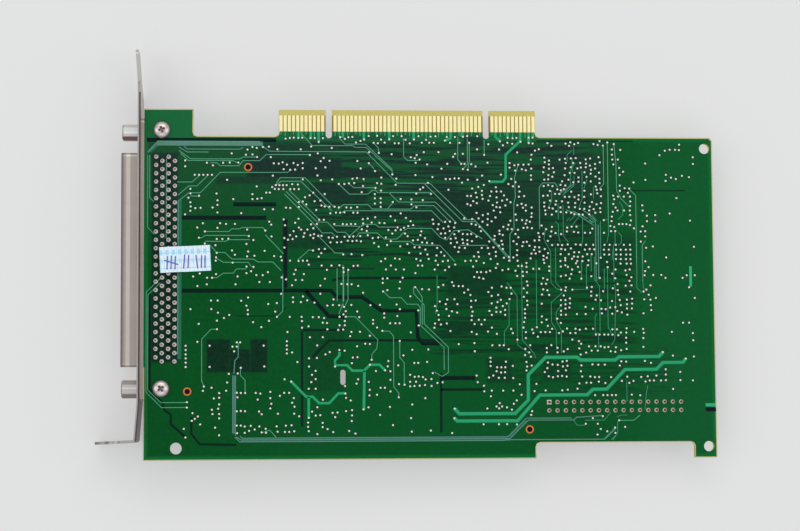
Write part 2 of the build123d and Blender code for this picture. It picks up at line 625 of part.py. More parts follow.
def run_places(runs):
    """Places of parts that stand in straight rows."""
    return [(x + step_x * index, y + step_y * index, turn)
            for x, y, step_x, step_y, count, turn in runs for index in range(count)]


def placed(shape, places):
    return [hang(shape, place) for place in places]


def multiplexer_places():
    return [(x, y, 90) for x in MULTIPLEXER_COLUMNS for y in MULTIPLEXER_ROWS]


def component_side_parts():
    """Everything soldered to the hidden side, by name."""
    wide_16, narrow_8, narrow_16 = small_outline(WIDE_16), small_outline(NARROW_8), small_outline(NARROW_16)
    wide_20, wide_28, quad = small_outline(WIDE_20), small_outline(WIDE_28), quad_pack(QUAD_FLAT_PACK)
    amplifiers = [(x, y, 0) for x in AMPLIFIER_COLUMNS for y in AMPLIFIER_ROWS]
    tantalums = [(x, y, 0) for x in TANTALUM_X for y in TANTALUM_ROWS]
    return {
        "bus_interface_chip": [hang(quad, BUS_INTERFACE)],
        "timing_controller_chip": [hang(quad, TIMING_CONTROLLER)],
        "digital_port_chip": [hang(leaded_carrier(), DIGITAL_PORT)],
        "sample_memories": placed(wide_28, SAMPLE_MEMORIES),
        "bus_buffers": placed(wide_20, BUS_BUFFERS),
        "analog_to_digital_converter": [hang(wide_28, TO_DIGITAL)],
        "digital_to_analog_converters": placed(wide_16, TO_ANALOG),
        "input_multiplexers": placed(wide_16, multiplexer_places()),
        "instrumentation_amplifier": [hang(wide_16, INSTRUMENT_AMPLIFIER)],
        "operational_amplifiers": placed(narrow_8, amplifiers),
        "calibration_converters": placed(narrow_16, TRIMMERS),
        "voltage_reference": [hang(narrow_8, REFERENCE)],
        "settings_memory": [hang(narrow_8, SETTINGS_MEMORY)],
        "resistor_networks": placed(narrow_16, RESISTOR_NETWORKS),
        "clock_oscillator": [hang(oscillator_can(), (*OSCILLATOR, 0))],
        "power_converter": [hang(power_module(), (*CONVERTER, 0))],
        "tantalum_capacitors": placed(passive(TANTALUM_SIZE), tantalums),
        "power_inductor": placed(inductor(), [(x, y, 0) for x, y in INDUCTOR_PLACES]),
        "resettable_fuse": [hang(passive(FUSE_SIZE), (*FUSE_PLACE, 0))],
        "chip_capacitors": placed(passive(CAPACITOR_SIZE), run_places(CAPACITOR_RUNS)),
        "chip_resistors": placed(passive(RESISTOR_SIZE), run_places(RESISTOR_RUNS)),
    }


def all_parts():
    parts = {
        "circuit_board": [circuit_board()],
        "bracket": [bracket()],
        "connector_shell": [connector_shell()],
        "connector_housing": [connector_housing()],
        "tail_spacer": [tail_spacer()],
        "header_housing": [header_housing()],
        "header_pins_inner": header_pins(0),
        "header_pins_outer": header_pins(1),
        "paper_label": [paper_label()],
    }
    for column in range(4):
        parts[f"contact_column_{column + 1}"] = contact_column(column)
    for name, y in SCREW_YS.items():
        parts[f"jackscrew_{name}"] = [jackscrew(y)]
        parts[f"board_screw_{name}"] = [board_screw(y)]
    return parts | component_side_parts()


def overall_box(parts):
    boxes = [shape.bounding_box() for shapes in parts.values() for shape in shapes]
    lows = [min(getattr(box.min, axis) for box in boxes) for axis in "XYZ"]
    highs = [max(getattr(box.max, axis) for box in boxes) for axis in "XYZ"]
    return lows, highs


def export_all(parts):
    """Move the card so that its box stands centred on the origin, and write one file a part."""
    lows, highs = overall_box(parts)
    shift = Pos(-(lows[0] + highs[0]) / 2, -(lows[1] + highs[1]) / 2, -lows[2])
    os.makedirs("parts", exist_ok=True)
    for name, shapes in parts.items():
        solids = [solid.moved(shift) for shape in shapes for solid in shape.solids()]
        export_step(solids[0] if len(solids) == 1 else Compound(solids), f"parts/{name}.step")


export_all(all_parts())
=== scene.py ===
import json
import math
import random
from collections import namedtuple

import bmesh
import bpy
from mathutils import Matrix, Quaternion, Vector


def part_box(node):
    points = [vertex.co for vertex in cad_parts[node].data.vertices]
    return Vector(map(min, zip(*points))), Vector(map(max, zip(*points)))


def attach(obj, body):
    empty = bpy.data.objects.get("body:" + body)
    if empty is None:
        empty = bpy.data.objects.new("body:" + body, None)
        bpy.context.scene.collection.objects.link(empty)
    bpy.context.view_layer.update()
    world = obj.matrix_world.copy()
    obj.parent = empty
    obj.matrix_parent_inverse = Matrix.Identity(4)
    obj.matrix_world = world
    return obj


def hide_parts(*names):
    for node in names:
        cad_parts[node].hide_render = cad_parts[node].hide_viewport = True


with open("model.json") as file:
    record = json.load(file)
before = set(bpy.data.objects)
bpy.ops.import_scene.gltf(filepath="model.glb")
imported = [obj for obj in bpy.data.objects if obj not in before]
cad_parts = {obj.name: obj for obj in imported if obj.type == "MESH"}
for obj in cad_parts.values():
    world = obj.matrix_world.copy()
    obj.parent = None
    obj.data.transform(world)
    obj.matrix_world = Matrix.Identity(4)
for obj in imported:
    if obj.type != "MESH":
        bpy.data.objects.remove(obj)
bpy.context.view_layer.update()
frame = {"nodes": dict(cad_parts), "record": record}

# A short data acquisition card for a desktop computer's expansion bus, lying with its component side down.
# Places on the card are in millimetres from the board's corner by the bracket and the plain long edge,
# with z = 0 on the solder side.
MM = 0.001
NODES = frame["nodes"]
BOARD_LOW, BOARD_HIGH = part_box("circuit_board")
BOARD_LENGTH, BOARD_WIDTH, BOARD_THICKNESS = (BOARD_HIGH - BOARD_LOW) / MM
MAIN_EDGE = BOARD_WIDTH - 8.25                     # the long edge that the bus fingers stand out from
FINGERS_FROM, FINGERS_TO = 40.0, 120.5             # the stretch of that edge with the fingers
MASK_END, PLATE_END = 99.93, 104.88                # where the mask stops, and the fingers' plating
BRACKET_LOW, BRACKET_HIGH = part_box("bracket")
HEADER_LOW, HEADER_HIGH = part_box("header_housing")


def spot(x, y=0.0, z=0.0):
    """Where a place on the card lies in the frame."""
    return Vector((BOARD_LOW.x + x * MM, BOARD_LOW.y + y * MM, BOARD_HIGH.z + z * MM))


def places(text):
    """Places written as x,y pairs."""
    return [tuple(map(float, pair.split(","))) for pair in text.split()]


def runs(text):
    """Runs written one a line, each as the places that it passes."""
    return [places(line) for line in text.strip().splitlines()]


# ---------------------------------------------------------------- mesh helpers

ON_BOARD = Matrix.Translation(spot(0))


def edges_of(verts):
    """Every edge at the given points, once each."""
    return list(dict.fromkeys(edge for vert in verts for edge in vert.link_edges))


def cuboid(bm, matrix, x, y, z, bevel=0.0):
    """Box between three pairs of values in a part's own frame, with its edges eased."""
    middle = Vector([(low + high) / 2 for low, high in (x, y, z)]) * MM
    size = Vector([high - low for low, high in (x, y, z)]) * MM
    placed = matrix @ Matrix.Translation(middle) @ Matrix.Diagonal((*size, 1))
    made = bmesh.ops.create_cube(bm, size=1, matrix=placed)
    if bevel:
        bmesh.ops.bevel(bm, geom=edges_of(made["verts"]), offset=bevel * MM, segments=1, profile=0.5,
                        affect="EDGES", material=-1)


def turned(profile, steps):
    """Closed solid of revolution about Z; the profile is a list of (radius, height) in millimetres."""
    bm = bmesh.new()
    verts = [bm.verts.new((radius * MM, 0, height * MM)) for radius, height in profile]
    edges = [bm.edges.new(pair) for pair in zip(verts, verts[1:])]
    bmesh.ops.spin(bm, geom=verts + edges, cent=(0, 0, 0), axis=(0, 0, 1), dvec=(0, 0, 0),
                   angle=math.tau, steps=steps, use_merge=True)
    bmesh.ops.remove_doubles(bm, verts=bm.verts, dist=1e-7)
    return bm


def extruded(bm, face):
    """The far face of a new step drawn out from a face, still lying on it."""
    made = bmesh.ops.extrude_face_region(bm, geom=[face, *face.edges])["geom"]
    return next(item for item in made if isinstance(item, bmesh.types.BMFace))


def as_pattern(bm):
    """Turns the working mesh into a finished one, to be stamped or shown."""
    mesh = bpy.data.meshes.new("pattern")
    bm.to_mesh(mesh)
    bm.free()
    return mesh


def stamp(bm, pattern, matrices):
    """Copies of a pattern mesh at each matrix."""
    for matrix in matrices:
        count = len(bm.verts)
        bm.from_mesh(pattern)
        bm.verts.ensure_lookup_table()
        for vert in bm.verts[count:]:
            vert.co = matrix @ vert.co


def at_places(points):
    return [Matrix.Translation(spot(x, y)) for x, y in points]


def under_places(points):
    """The same places on the component side, facing down."""
    flip = Matrix.Rotation(math.pi, 4, "X")
    return [Matrix.Translation(spot(x, y, -BOARD_THICKNESS)) @ flip for x, y in points]


def solids(node):
    """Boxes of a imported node's separate solids, in board millimetres."""
    bm = bmesh.new()
    bm.from_mesh(NODES[node].data)
    bmesh.ops.remove_doubles(bm, verts=bm.verts, dist=1e-6)
    waiting, boxes = set(bm.verts), []
    while waiting:
        front, island = [waiting.pop()], []
        while front:
            vert = front.pop()
            island.append((vert.co - spot(0)) / MM)
            near = {edge.other_vert(vert) for edge in vert.link_edges} & waiting
            waiting -= near
            front.extend(near)
        boxes.append([(min(point[axis] for point in island), max(point[axis] for point in island))
                      for axis in range(3)])
    bm.free()
    return sorted(boxes)


def link_object(name, data):
    item = bpy.data.objects.new(name, data)
    bpy.context.scene.collection.objects.link(item)
    return item


def result_mesh(item):
    """The object's mesh with its modifiers or bevel applied."""
    return bpy.data.meshes.new_from_object(item.evaluated_get(bpy.context.evaluated_depsgraph_get()))


def finish_piece(name, bm, material, replaces=(), smooth=None):
    """Makes the piece's object; edges flatter than the smooth angle are shaded smooth."""
    bm.normal_update()
    bmesh.ops.recalc_face_normals(bm, faces=bm.faces)
    if smooth is not None:
        for face in bm.faces:
            face.smooth = True
        for edge in bm.edges:
            edge.smooth = edge.is_manifold and edge.calc_face_angle(0) < math.radians(smooth)
    mesh = bpy.data.meshes.new(name)
    bm.to_mesh(mesh)
    bm.free()
    piece = link_object(name, mesh)
    mesh.materials.append(material)
    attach(piece, "root")
    if replaces:
        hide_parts(*replaces)
    return piece


def ribbons(name, paths, width, thickness, material, z=0.0):
    """Flat runs along paths given in board millimetres, as one mesh."""
    profile = bpy.data.curves.new("profile", "CURVE")
    profile.dimensions = "2D"
    outline = profile.splines.new("POLY")
    outline.points.add(3)
    half, high = width / 2 * MM, thickness / 2 * MM
    for point, corner in zip(outline.points, ((-half, -high), (half, -high), (half, high), (-half, high))):
        point.co = (*corner, 0, 1)
    outline.use_cyclic_u = True
    section = link_object("profile", profile)
    curve = bpy.data.curves.new("run", "CURVE")
    curve.dimensions = "3D"
    curve.twist_mode = "Z_UP"
    curve.bevel_mode = "OBJECT"
    curve.bevel_object = section
    curve.use_fill_caps = True
    for path in paths:
        spline = curve.splines.new("POLY")
        spline.points.add(len(path) - 1)
        for point, (x, y) in zip(spline.points, path):
            point.co = (*spot(x, y, z), 1)
    run = link_object("run", curve)
    bm = bmesh.new()
    bm.from_mesh(result_mesh(run))
    bpy.data.objects.remove(run)
    bpy.data.objects.remove(section)
    return finish_piece(name, bm, material)


# ---------------------------------------------------------------- material helpers

def srgb(red, green, blue):
    """Colour given as 0-255 display values."""
    def linear(value):
        value /= 255
        return value / 12.92 if value <= 0.04045 else ((value + 0.055) / 1.055) ** 2.4
    return (linear(red), linear(green), linear(blue), 1.0)


def grey(value):
    return (value, value, value, 1)


def darkened(colour, share):
    return tuple(value * share for value in colour[:3]) + (1,)


class Nodes:
    """A node tree under construction, with short ways to add to it."""

    def __init__(self, tree):
        self.tree = tree
        self.place = None

    def add(self, kind, **settings):
        node = self.tree.nodes.new(f"ShaderNode{kind}")
        for key, value in settings.items():
            setattr(node, key, value)
        return node

    def feed(self, socket, value):
        """Links the socket to another, or gives it a plain value."""
        if hasattr(value, "is_output"):
            self.tree.links.new(value, socket)
        else:
            socket.default_value = value

    def feed_all(self, sockets, values):
        for key, value in values.items():
            self.feed(sockets[key.replace("_", " ")], value)

    def use(self, group, **values):
        """Places a shared node group at the point being shaded, and returns its outputs."""
        node = self.add("Group", node_tree=group)
        self.feed_all(node.inputs, {"Place": self.place, **values})
        return node.outputs

    def parts(self, vector):
        """The three coordinates of a vector."""
        node = self.add("SeparateXYZ")
        self.feed(node.inputs[0], vector)
        return node.outputs

    def math(self, operation, *values, clamp=False):
        node = self.add("Math", operation=operation, use_clamp=clamp)
        for socket, value in zip(node.inputs, values):
            self.feed(socket, value)
        return node.outputs[0]

    def vector(self, operation, first, second=None):
        node = self.add("VectorMath", operation=operation)
        self.feed(node.inputs[0], first)
        if second is not None:
            self.feed(node.inputs["Scale"] if operation == "SCALE" else node.inputs[1], second)
        return node.outputs["Value" if operation in ("DOT_PRODUCT", "DISTANCE") else "Vector"]

    def noise(self, scale, detail=2.0, stretch=(1, 1, 1)):
        mapping = self.add("Mapping")
        self.feed_all(mapping.inputs, {"Vector": self.place, "Scale": stretch})
        node = self.add("TexNoise")
        self.feed_all(node.inputs, {"Vector": mapping.outputs[0], "Scale": scale, "Detail": detail})
        return node.outputs["Fac"]

    def band(self, value, low, high):
        """Smooth 0 to 1 between two values, or 1 to 0 where the first is the higher."""
        node = self.add("MapRange", interpolation_type="SMOOTHSTEP")
        self.feed_all(node.inputs, {"Value": value, "From Min": low, "From Max": high})
        return node.outputs["Result"]

    def line_at(self, value, centre, half):
        """1 where the value is within a half width of the centre."""
        return self.band(self.math("ABSOLUTE", self.math("SUBTRACT", value, centre)), half * 1.1, half * 0.9)

    def mix(self, factor, first, second):
        node = self.add("Mix", data_type="RGBA")
        for index, value in ((0, factor), (6, first), (7, second)):    # its factor and two colour sockets
            self.feed(node.inputs[index], value)
        return node.outputs[2]

    def bump(self, height, strength, distance):
        node = self.add("Bump")
        self.feed_all(node.inputs, {"Height": height, "Strength": strength, "Distance": distance})
        return node.outputs[0]


class Group(Nodes):
    """A shared effect: a node group that takes the place being shaded, with named inputs and outputs."""

    def __init__(self, name, inputs, outputs):
        super().__init__(bpy.data.node_groups.new(name, "ShaderNodeTree"))
        for in_out, sockets in (("INPUT", {"Place": "Vector", **inputs}), ("OUTPUT", outputs)):
            for socket, kind in sockets.items():
                self.tree.interface.new_socket(name=socket, in_out=in_out, socket_type=f"NodeSocket{kind}")
        self.given = self.tree.nodes.new("NodeGroupInput").outputs
        self.results = self.tree.nodes.new("NodeGroupOutput").inputs
        self.place = self.given["Place"]

    def give(self, **values):
        self.feed_all(self.results, values)
        return self.tree


class Shade(Nodes):
    """A material under construction."""

    def __init__(self, name):
        self.material = bpy.data.materials.new(name)
        self.material.use_nodes = True
        super().__init__(self.material.node_tree)
        self.surface = self.tree.nodes["Principled BSDF"]
        self.place = self.add("TexCoord").outputs["Object"]

    def area(self, x_low, x_high, y_low, y_high, soft):
        """Soft-edged rectangle given in board millimetres."""
        middle = spot((x_low + x_high) / 2, (y_low + y_high) / 2)
        half = Vector(((x_high - x_low) / 2, (y_high - y_low) / 2, 100)) * MM
        return self.use(SOFT_AREA, Centre=middle, Half_Size=half, Softness=soft * MM)[0]

    def set(self, **values):
        self.feed_all(self.surface.inputs, values)
        return self.material


def soft_streak():
    """1 along a straight streak between two places on the flat, fading out over its soft edge."""
    group = Group("soft streak", {"Start": "Vector", "End": "Vector", "Half Width": "Float",
                                  "Softness": "Float"}, {"Mask": "Float"})
    _, start, end, half, soft, *_ = group.given
    along = group.vector("SUBTRACT", end, start)
    offset = group.vector("SUBTRACT", group.vector("MULTIPLY", group.place, (1, 1, 0)), start)
    share = group.math("DIVIDE", group.vector("DOT_PRODUCT", offset, along),
                       group.vector("DOT_PRODUCT", along, along), clamp=True)
    distance = group.vector("DISTANCE", offset, group.vector("SCALE", along, share))
    outside, inside = group.math("ADD", half, soft), group.math("SUBTRACT", half, soft)
    return group.give(Mask=group.band(distance, outside, inside))


def soft_area():
    """1 inside a rectangle that is square to the board, fading out over its soft edge."""
    group = Group("soft area", {"Centre": "Vector", "Half Size": "Vector", "Softness": "Float"},
                  {"Mask": "Float"})
    offset = group.vector("ABSOLUTE", group.vector("SUBTRACT", group.place, group.given["Centre"]))
    x, y, _ = group.parts(group.vector("SUBTRACT", offset, group.given["Half Size"]))
    over = group.math("DIVIDE", group.math("MAXIMUM", x, y), group.given["Softness"])
    return group.give(Mask=group.band(over, 1.0, -1.0))


def uneven_finish():
    """Tone and gloss that wander a little over a moulded, plated or painted surface."""
    group = Group("uneven finish", {"Colour": "Color", "Darker": "Color", "Least Roughness": "Float"},
                  {"Tone": "Color", "Gloss": "Float"})
    uneven = group.noise(400, 3.0)
    return group.give(Tone=group.mix(uneven, group.given["Darker"], group.given["Colour"]),
                      Gloss=group.math("MULTIPLY_ADD", uneven, 0.12, group.given["Least Roughness"]))


def rolled_finish():
    """Sheet metal with fine marks along its rolling direction and broad stains."""
    group = Group("rolled finish", {"Stretch": "Vector", "Colour": "Color", "Darker": "Color",
                                    "Least Roughness": "Float"},
                  {"Tone": "Color", "Gloss": "Float", "Marks": "Float"})
    marks = group.noise(260, 4.0, group.given["Stretch"])
    return group.give(Tone=group.mix(group.noise(60, 3.0), group.given["Darker"], group.given["Colour"]),
                      Gloss=group.math("MULTIPLY_ADD", marks, 0.25, group.given["Least Roughness"]),
                      Marks=marks)


SOFT_STREAK = soft_streak()
SOFT_AREA = soft_area()
UNEVEN_FINISH = uneven_finish()
ROLLED_FINISH = rolled_finish()


# ---------------------------------------------------------------- places of the vias and runs

# Through holes with solder on their lands, by the part of the board that they lie in.
VIA_FIELDS = {
    "beside the connector and below the left fingers": """
        42.9,97.7 44.2,97.9 45.4,98 46.8,97.9 48,98 32.8,95.1 34.1,94.8 36,95.1 37.8,95.2 31.3,94.3
        30.8,92.7 32.8,92.8 34.2,92 26.5,93.1 38.4,92 40.4,94.4 47.5,94.4 12.4,90.9 12.4,89.1 19,90.2
        20.8,89.4 23.9,90.2 25.9,90.3 28.5,90.3 39.3,90.1 40.8,90 42,90.4 43.3,89.7 45.3,90.2 46.6,89.6
        48.1,90.2 42.3,88.3 44.3,88.1 45.8,88.2 48.1,88.6 39,86.3 25.1,85 48.1,85.2 34.1,83 38.8,82.8
        44.9,83.7 46.6,83.6 39.6,82.2 40.8,82.2 42.2,82.2 44.3,82.2 45.5,82.2 46.9,82.2 39.9,83.4 41,83.4
        42.1,83.4 43.2,83.4 15.3,86.5 16.6,86.5 17.9,86.5 19.2,86.5 20.5,86.5 14,82.2 14,80.8 13.4,79.5
        16.6,80.1 14,78.1 14.1,76.8 14,75.5 15.5,76.3 17.1,76.4 20.7,76.5 21.9,80.8 22.2,78.7 22.2,77.3
        22.2,75 12.4,74.4 27,79.1 32.8,80.6 32.8,79.1 34.3,79.2 35.6,79.4 37,81.1 38.1,81.1 36.4,76 39,76
        43,76.5 44.3,76.4 46.9,78.2 48.1,78.4 48.8,79.7 49.2,77.5 46.9,76.7 29.4,74.8 42.3,72.9 42.7,71.1
        46.8,73.1 45.8,71.9 37.9,72.2 38.5,71.3 17.8,71.7 16.1,70.4 22.2,70.3 23,71.7 24.8,71.5 27.5,71.5
        18.4,69.2 31.2,69.8 36.7,69.5 46.9,70.4 47.6,69.8 45.3,69.3 48.6,68.7 49.5,69.8 44.2,68.1 46.1,67.7
        48.3,67.6 45,66.9 42.5,67.2 43.6,66.7 38.6,67.7 31.7,67.8 33.1,66.6 16.6,67.3 22,66.9 23.7,66.9
        25.5,67 18.4,65.5 21.6,65 31,65.4 42.5,64.3 26.6,63.4 31.5,63.1 36.5,63.3 27.5,62.1 31.2,61.6
        33.4,61.8 22,62.7 21.8,61.3 21.7,60.3 39.4,61.7 41.4,61.5 41.7,60.4
    """,
    "under the middle of the finger edge": """
        50.5,97.9 51.8,97.9 53,96.7 54.3,97.9 59.6,98.2 61,97.7 62.1,98.2 63.3,98.3 64.4,96.6 65.8,97.1
        66.9,97.5 68.3,98.6 69.8,96.5 70.9,98.7 72.1,97.5 71.1,96.4 73.2,96.6 74.6,97.6 75.8,98.6 76.3,96.4
        77.5,96.4 78.4,98.6 79.6,97.5 80.9,96.4 82.2,97.6 83.6,98.6 84.6,96.6 85.9,97.5 87.3,98.5 86.9,96.6
        88.8,98.6 88.3,96.6 50.7,95.3 57,94.9 52.7,93.2 50.3,92.7 68.4,93.6 71.4,93.4 75.3,93 85.2,93.7
        89.7,93.7 54.5,91.8 53.6,90.8 56.3,90.9 64.8,90.9 68.3,90.2 81.2,92.1 82.4,91.8 83,92.8 83.9,91.4
        82.7,90.4 86.2,89.9 52.1,88.6 55,88.9 65.8,88.6 70.2,87.8 75.5,86.8 82.6,86.6 52.6,86.4 87.8,86
        53.6,84.9 57.1,85.2 63.3,85.4 64.7,85.6 66.7,85.3 72.1,85.8 76.7,85.5 86.4,84.2 59.1,83.8 60.8,83.8
        62.2,84 63.8,84.1 70.8,84.1 72.1,83.9 76.5,83.6 66.5,83.2 84.9,82.8 70.3,82.6 84,82.2 72,81.8
        66.1,81.3 51.3,81.1 54.8,80.7 70.1,80.7 82.8,80.9 87.3,80.8 50.2,80.3 70.1,79.4 71.9,79.4 78,79.2
        81.3,79.1 84.8,78.9 51.7,78.5 53.5,78.7 71.9,78.1 75.6,78.3 70.1,77.8 81.3,77.6 53.8,77.2 54.8,76.9
        56.2,76.8 57.8,76.8 59.1,76.6 61.4,76.6 62.8,76.5 64.7,76.7 71.9,76.8 82.8,76.7 52.2,75.8 56.5,74.8
        58.2,75 59.5,75 60.8,75.1 63.5,75 64.8,75 78,74.8 74.9,73.9 70.2,73.6 79.6,73.4 67.9,73.2 66.4,73
        53.1,72.8 54.5,72.8 76.3,72.6 81,72.4 87.8,72.9 69.1,72 71.5,71.9 73,71.8 88,71.6 89.6,71.5
        66.5,71.7 50.6,71.4 52.4,71.5 57.7,71.5 60.3,71.5 61.5,71.4 62.8,71.5 64.1,71.5 80.3,70.9 81.8,71.2
        67.8,70.8 77,70.5 79,70.4 66.1,69.9 89.3,70 51.3,70.2 67.6,69.4 74.2,69.7 76.4,69.6 78,69.8
        84.3,69.3 50.4,68.1 51.5,68.4 52.8,67.9 53.8,67.9 51.3,67.2 56,67.4 57.2,67.3 58.5,67.6 60.8,67.6
        62.3,67.6 63.5,67.7 65.6,67.8 67.9,68.1 69.4,67.2 71.1,67.4 73.4,67.4 75.4,68.6 79.3,68.6 80.1,67.8
        84,68.1 85.4,67.2 81.7,66.5 83.2,66.7 56.5,65.9 58.5,65.9 59.8,66 61.8,66.4 63.2,66.3 64.5,66.4
        65.8,66.2 69.8,65.7 74.9,66.3 84.5,65.9 86,65.8 87.6,65.6 80,65.4 73.8,65.1 71.2,64.6 77.8,64.7
        82.2,64.4 83.7,64.4 89.1,64.2 53,63.8 54.8,63.9 51.2,63.4 85.5,63.7 53.7,62.6 80.5,62.7 84,62.5
        86.1,62.2 60.4,62.2 62.9,62.3 66.2,62 88.9,61.9 52.9,61.5 73.2,60.9 76.2,61 77.6,60.8 82.7,60.8
        86.5,60.8 71.9,60.1 84,60.3 88.6,60.3
    """,
    "the dense stretch right of the middle": """
        92.3,98.4 94.8,98.4 97.3,98.5 98.6,98.7 101.7,98.7 91.7,97.3 93.3,96.6 96.2,96.6 99.2,96.6
        105.1,96.2 108.7,97.1 109.6,95.9 111,96.7 111.1,98.2 112.6,98.1 113.8,98.2 112.5,96.4 115.1,97
        117.6,98.3 117.6,96.6 118.8,98.3 118.8,96.5 123.4,96.6 124.6,95.8 129,96.5 101.6,94.6 108.4,94.6
        114,93.7 118.4,93 119.5,94.3 120.7,94.7 94.8,93.2 97.2,93.2 94.2,92.3 103.8,92.9 118.2,91.5
        122.4,92.1 122.5,90.7 123.8,91.2 127.1,91.5 128.8,91.8 129,90.5 92.4,90.1 96.7,90.1 97.7,90.1
        99.8,90 101.1,89.3 104.8,90.5 111.6,90.4 113.1,89.7 114.3,89.9 115.9,89.9 117.5,90 111.6,89
        123.8,90 122.2,89.1 90.6,88.6 97.2,88.5 98.7,88.3 113.3,88.1 115.4,88.5 116.6,88.2 118.3,88.7
        123.8,88.7 125,88.9 128.8,88.8 122,87.6 125.3,87.6 108.9,86.8 103.1,86.5 118.2,86.6 123.6,86.7
        128.6,86.7 124.8,86.2 91.9,85.4 93.2,85.4 94.6,85.6 95.9,85.6 98.7,85.2 101.6,85.2 112.1,85.5
        118.2,85.3 122.3,85.3 123.5,85.4 127.8,84.8 96.9,84.3 105.3,84.8 113.4,84.5 111.2,83.9 103.6,83.6
        122.1,83.3 123.5,83.6 124.8,83.3 127.3,83.7 128.8,83.5 112.6,83.2 114.4,83.1 107.3,82.9 101.9,83
        100,82.5 92.7,82.1 103,81.8 105.9,81.6 107.5,81.6 108.9,81.6 114.6,81.6 124,81.8 126.3,82.3
        127.4,82 128.3,82.4 101.1,81.2 103,80.5 98.5,80.2 99.6,80.2 101.4,79.8 105.5,80.2 107.5,79.8
        109.8,80.4 114.4,80 116,80.2 121.9,80.3 123.3,80.4 125.6,80.9 126.9,80.9 128.6,80 103.2,79.3
        105,78.8 100.3,78.6 101.4,78 107.6,78.2 109.2,78.8 110.7,79.1 111.8,78.3 124,78.8 125.9,78.7
        127.7,78.6 122.2,78.2 115.2,77.8 98.5,77.7 99.5,77.3 106.3,77.4 110.2,77.3 113.9,77.4 116.5,77.4
        125.7,77.6 107.4,76.8 108.5,76.7 115.6,76.6 118.3,76.7 122.2,77 123.7,76.6 124.8,76.4 127.2,76.7
        122.5,75.8 106.6,75.7 116.5,75.7 108.6,75.2 101.3,75 118.3,74.9 125.9,75.5 127.3,75.3 122.6,74.6
        124.5,74.5 103.2,74.3 104.8,74.7 113.3,74.5 118.2,73.8 107.1,73.6 101.9,73.3 99.9,73.1 97.5,73.3
        104.7,73.1 115.3,72.8 116.7,72.7 111.7,72.6 113.6,72.8 105.9,72.4 103.1,72.3 117.7,72.3 91.6,72.2
        93.1,72.3 94.7,71.9 99.7,71.6 116.4,71.7 104.6,71.3 101,71.3 111.1,71.3 121.3,71.1 92.6,70.8
        94.4,70.5 102.2,70.7 109.5,70.7 115.7,70.4 116.9,70.5 118.3,70.3 124.5,70.7 110.8,70 112.1,70
        114,69.8 122.7,70 91.1,70.2 93,69.4 95.8,69.3 102.6,69.4 108.3,69.5 124.3,69.3 120.3,68.8
        121.8,68.6 125.6,68.8 90.3,68.6 91.6,68.7 94.4,68.4 97,68.5 98.4,68.4 99.6,68.5 108.3,68.5
        109.3,68.2 113.2,68.5 127.3,68.5 106.8,67.9 101.2,67.7 124,67.8 91.6,67.3 114.1,67.5 120.6,67.6
        94.8,67.2 93.3,67 96.9,66.8 98.4,66.6 106.7,66.8 120.5,66.6 108.9,66.4 123.2,66.4 119.1,66.5
        99.8,66.3 105.1,66.2 112.6,66.3 116.7,66.1 115.6,66 93.3,65.7 95.2,65.9 97.1,65.7 98.4,65.4
        109.2,65.3 113.6,65.4 124.5,65.1 126.3,65.2 127.6,65.1 108.1,64.9 117.5,64.9 115.3,64.8 119.2,64.5
        94.5,64.5 95.9,64.3 97.6,64.2 102.8,64.2 104.7,64.2 106.4,64.4 120.5,64.4 109.3,63.9 122.2,63.9
        127.3,63.9 118.9,63.6 113.7,63.5 95.6,63 101.7,62.9 107.1,63 120.6,63.1 90.3,62.9 123.2,62.6
        105.1,62.4 118.1,62.5 119.4,62.5 127.1,62.3 113.6,62 91.3,61.8 100.4,61.6 101.9,61.5 107.1,61.7
        121.8,61.8 111.1,61.4 112.5,61.3 109.6,61.2 117.8,61 105.5,60.8 122.8,61.2 121.8,60.6 92.4,60.3
        99.4,60.3 97.7,60.2 101.1,60.2 111.2,60.3 113.8,60.3 90.8,60.1 127,60.2
    """,
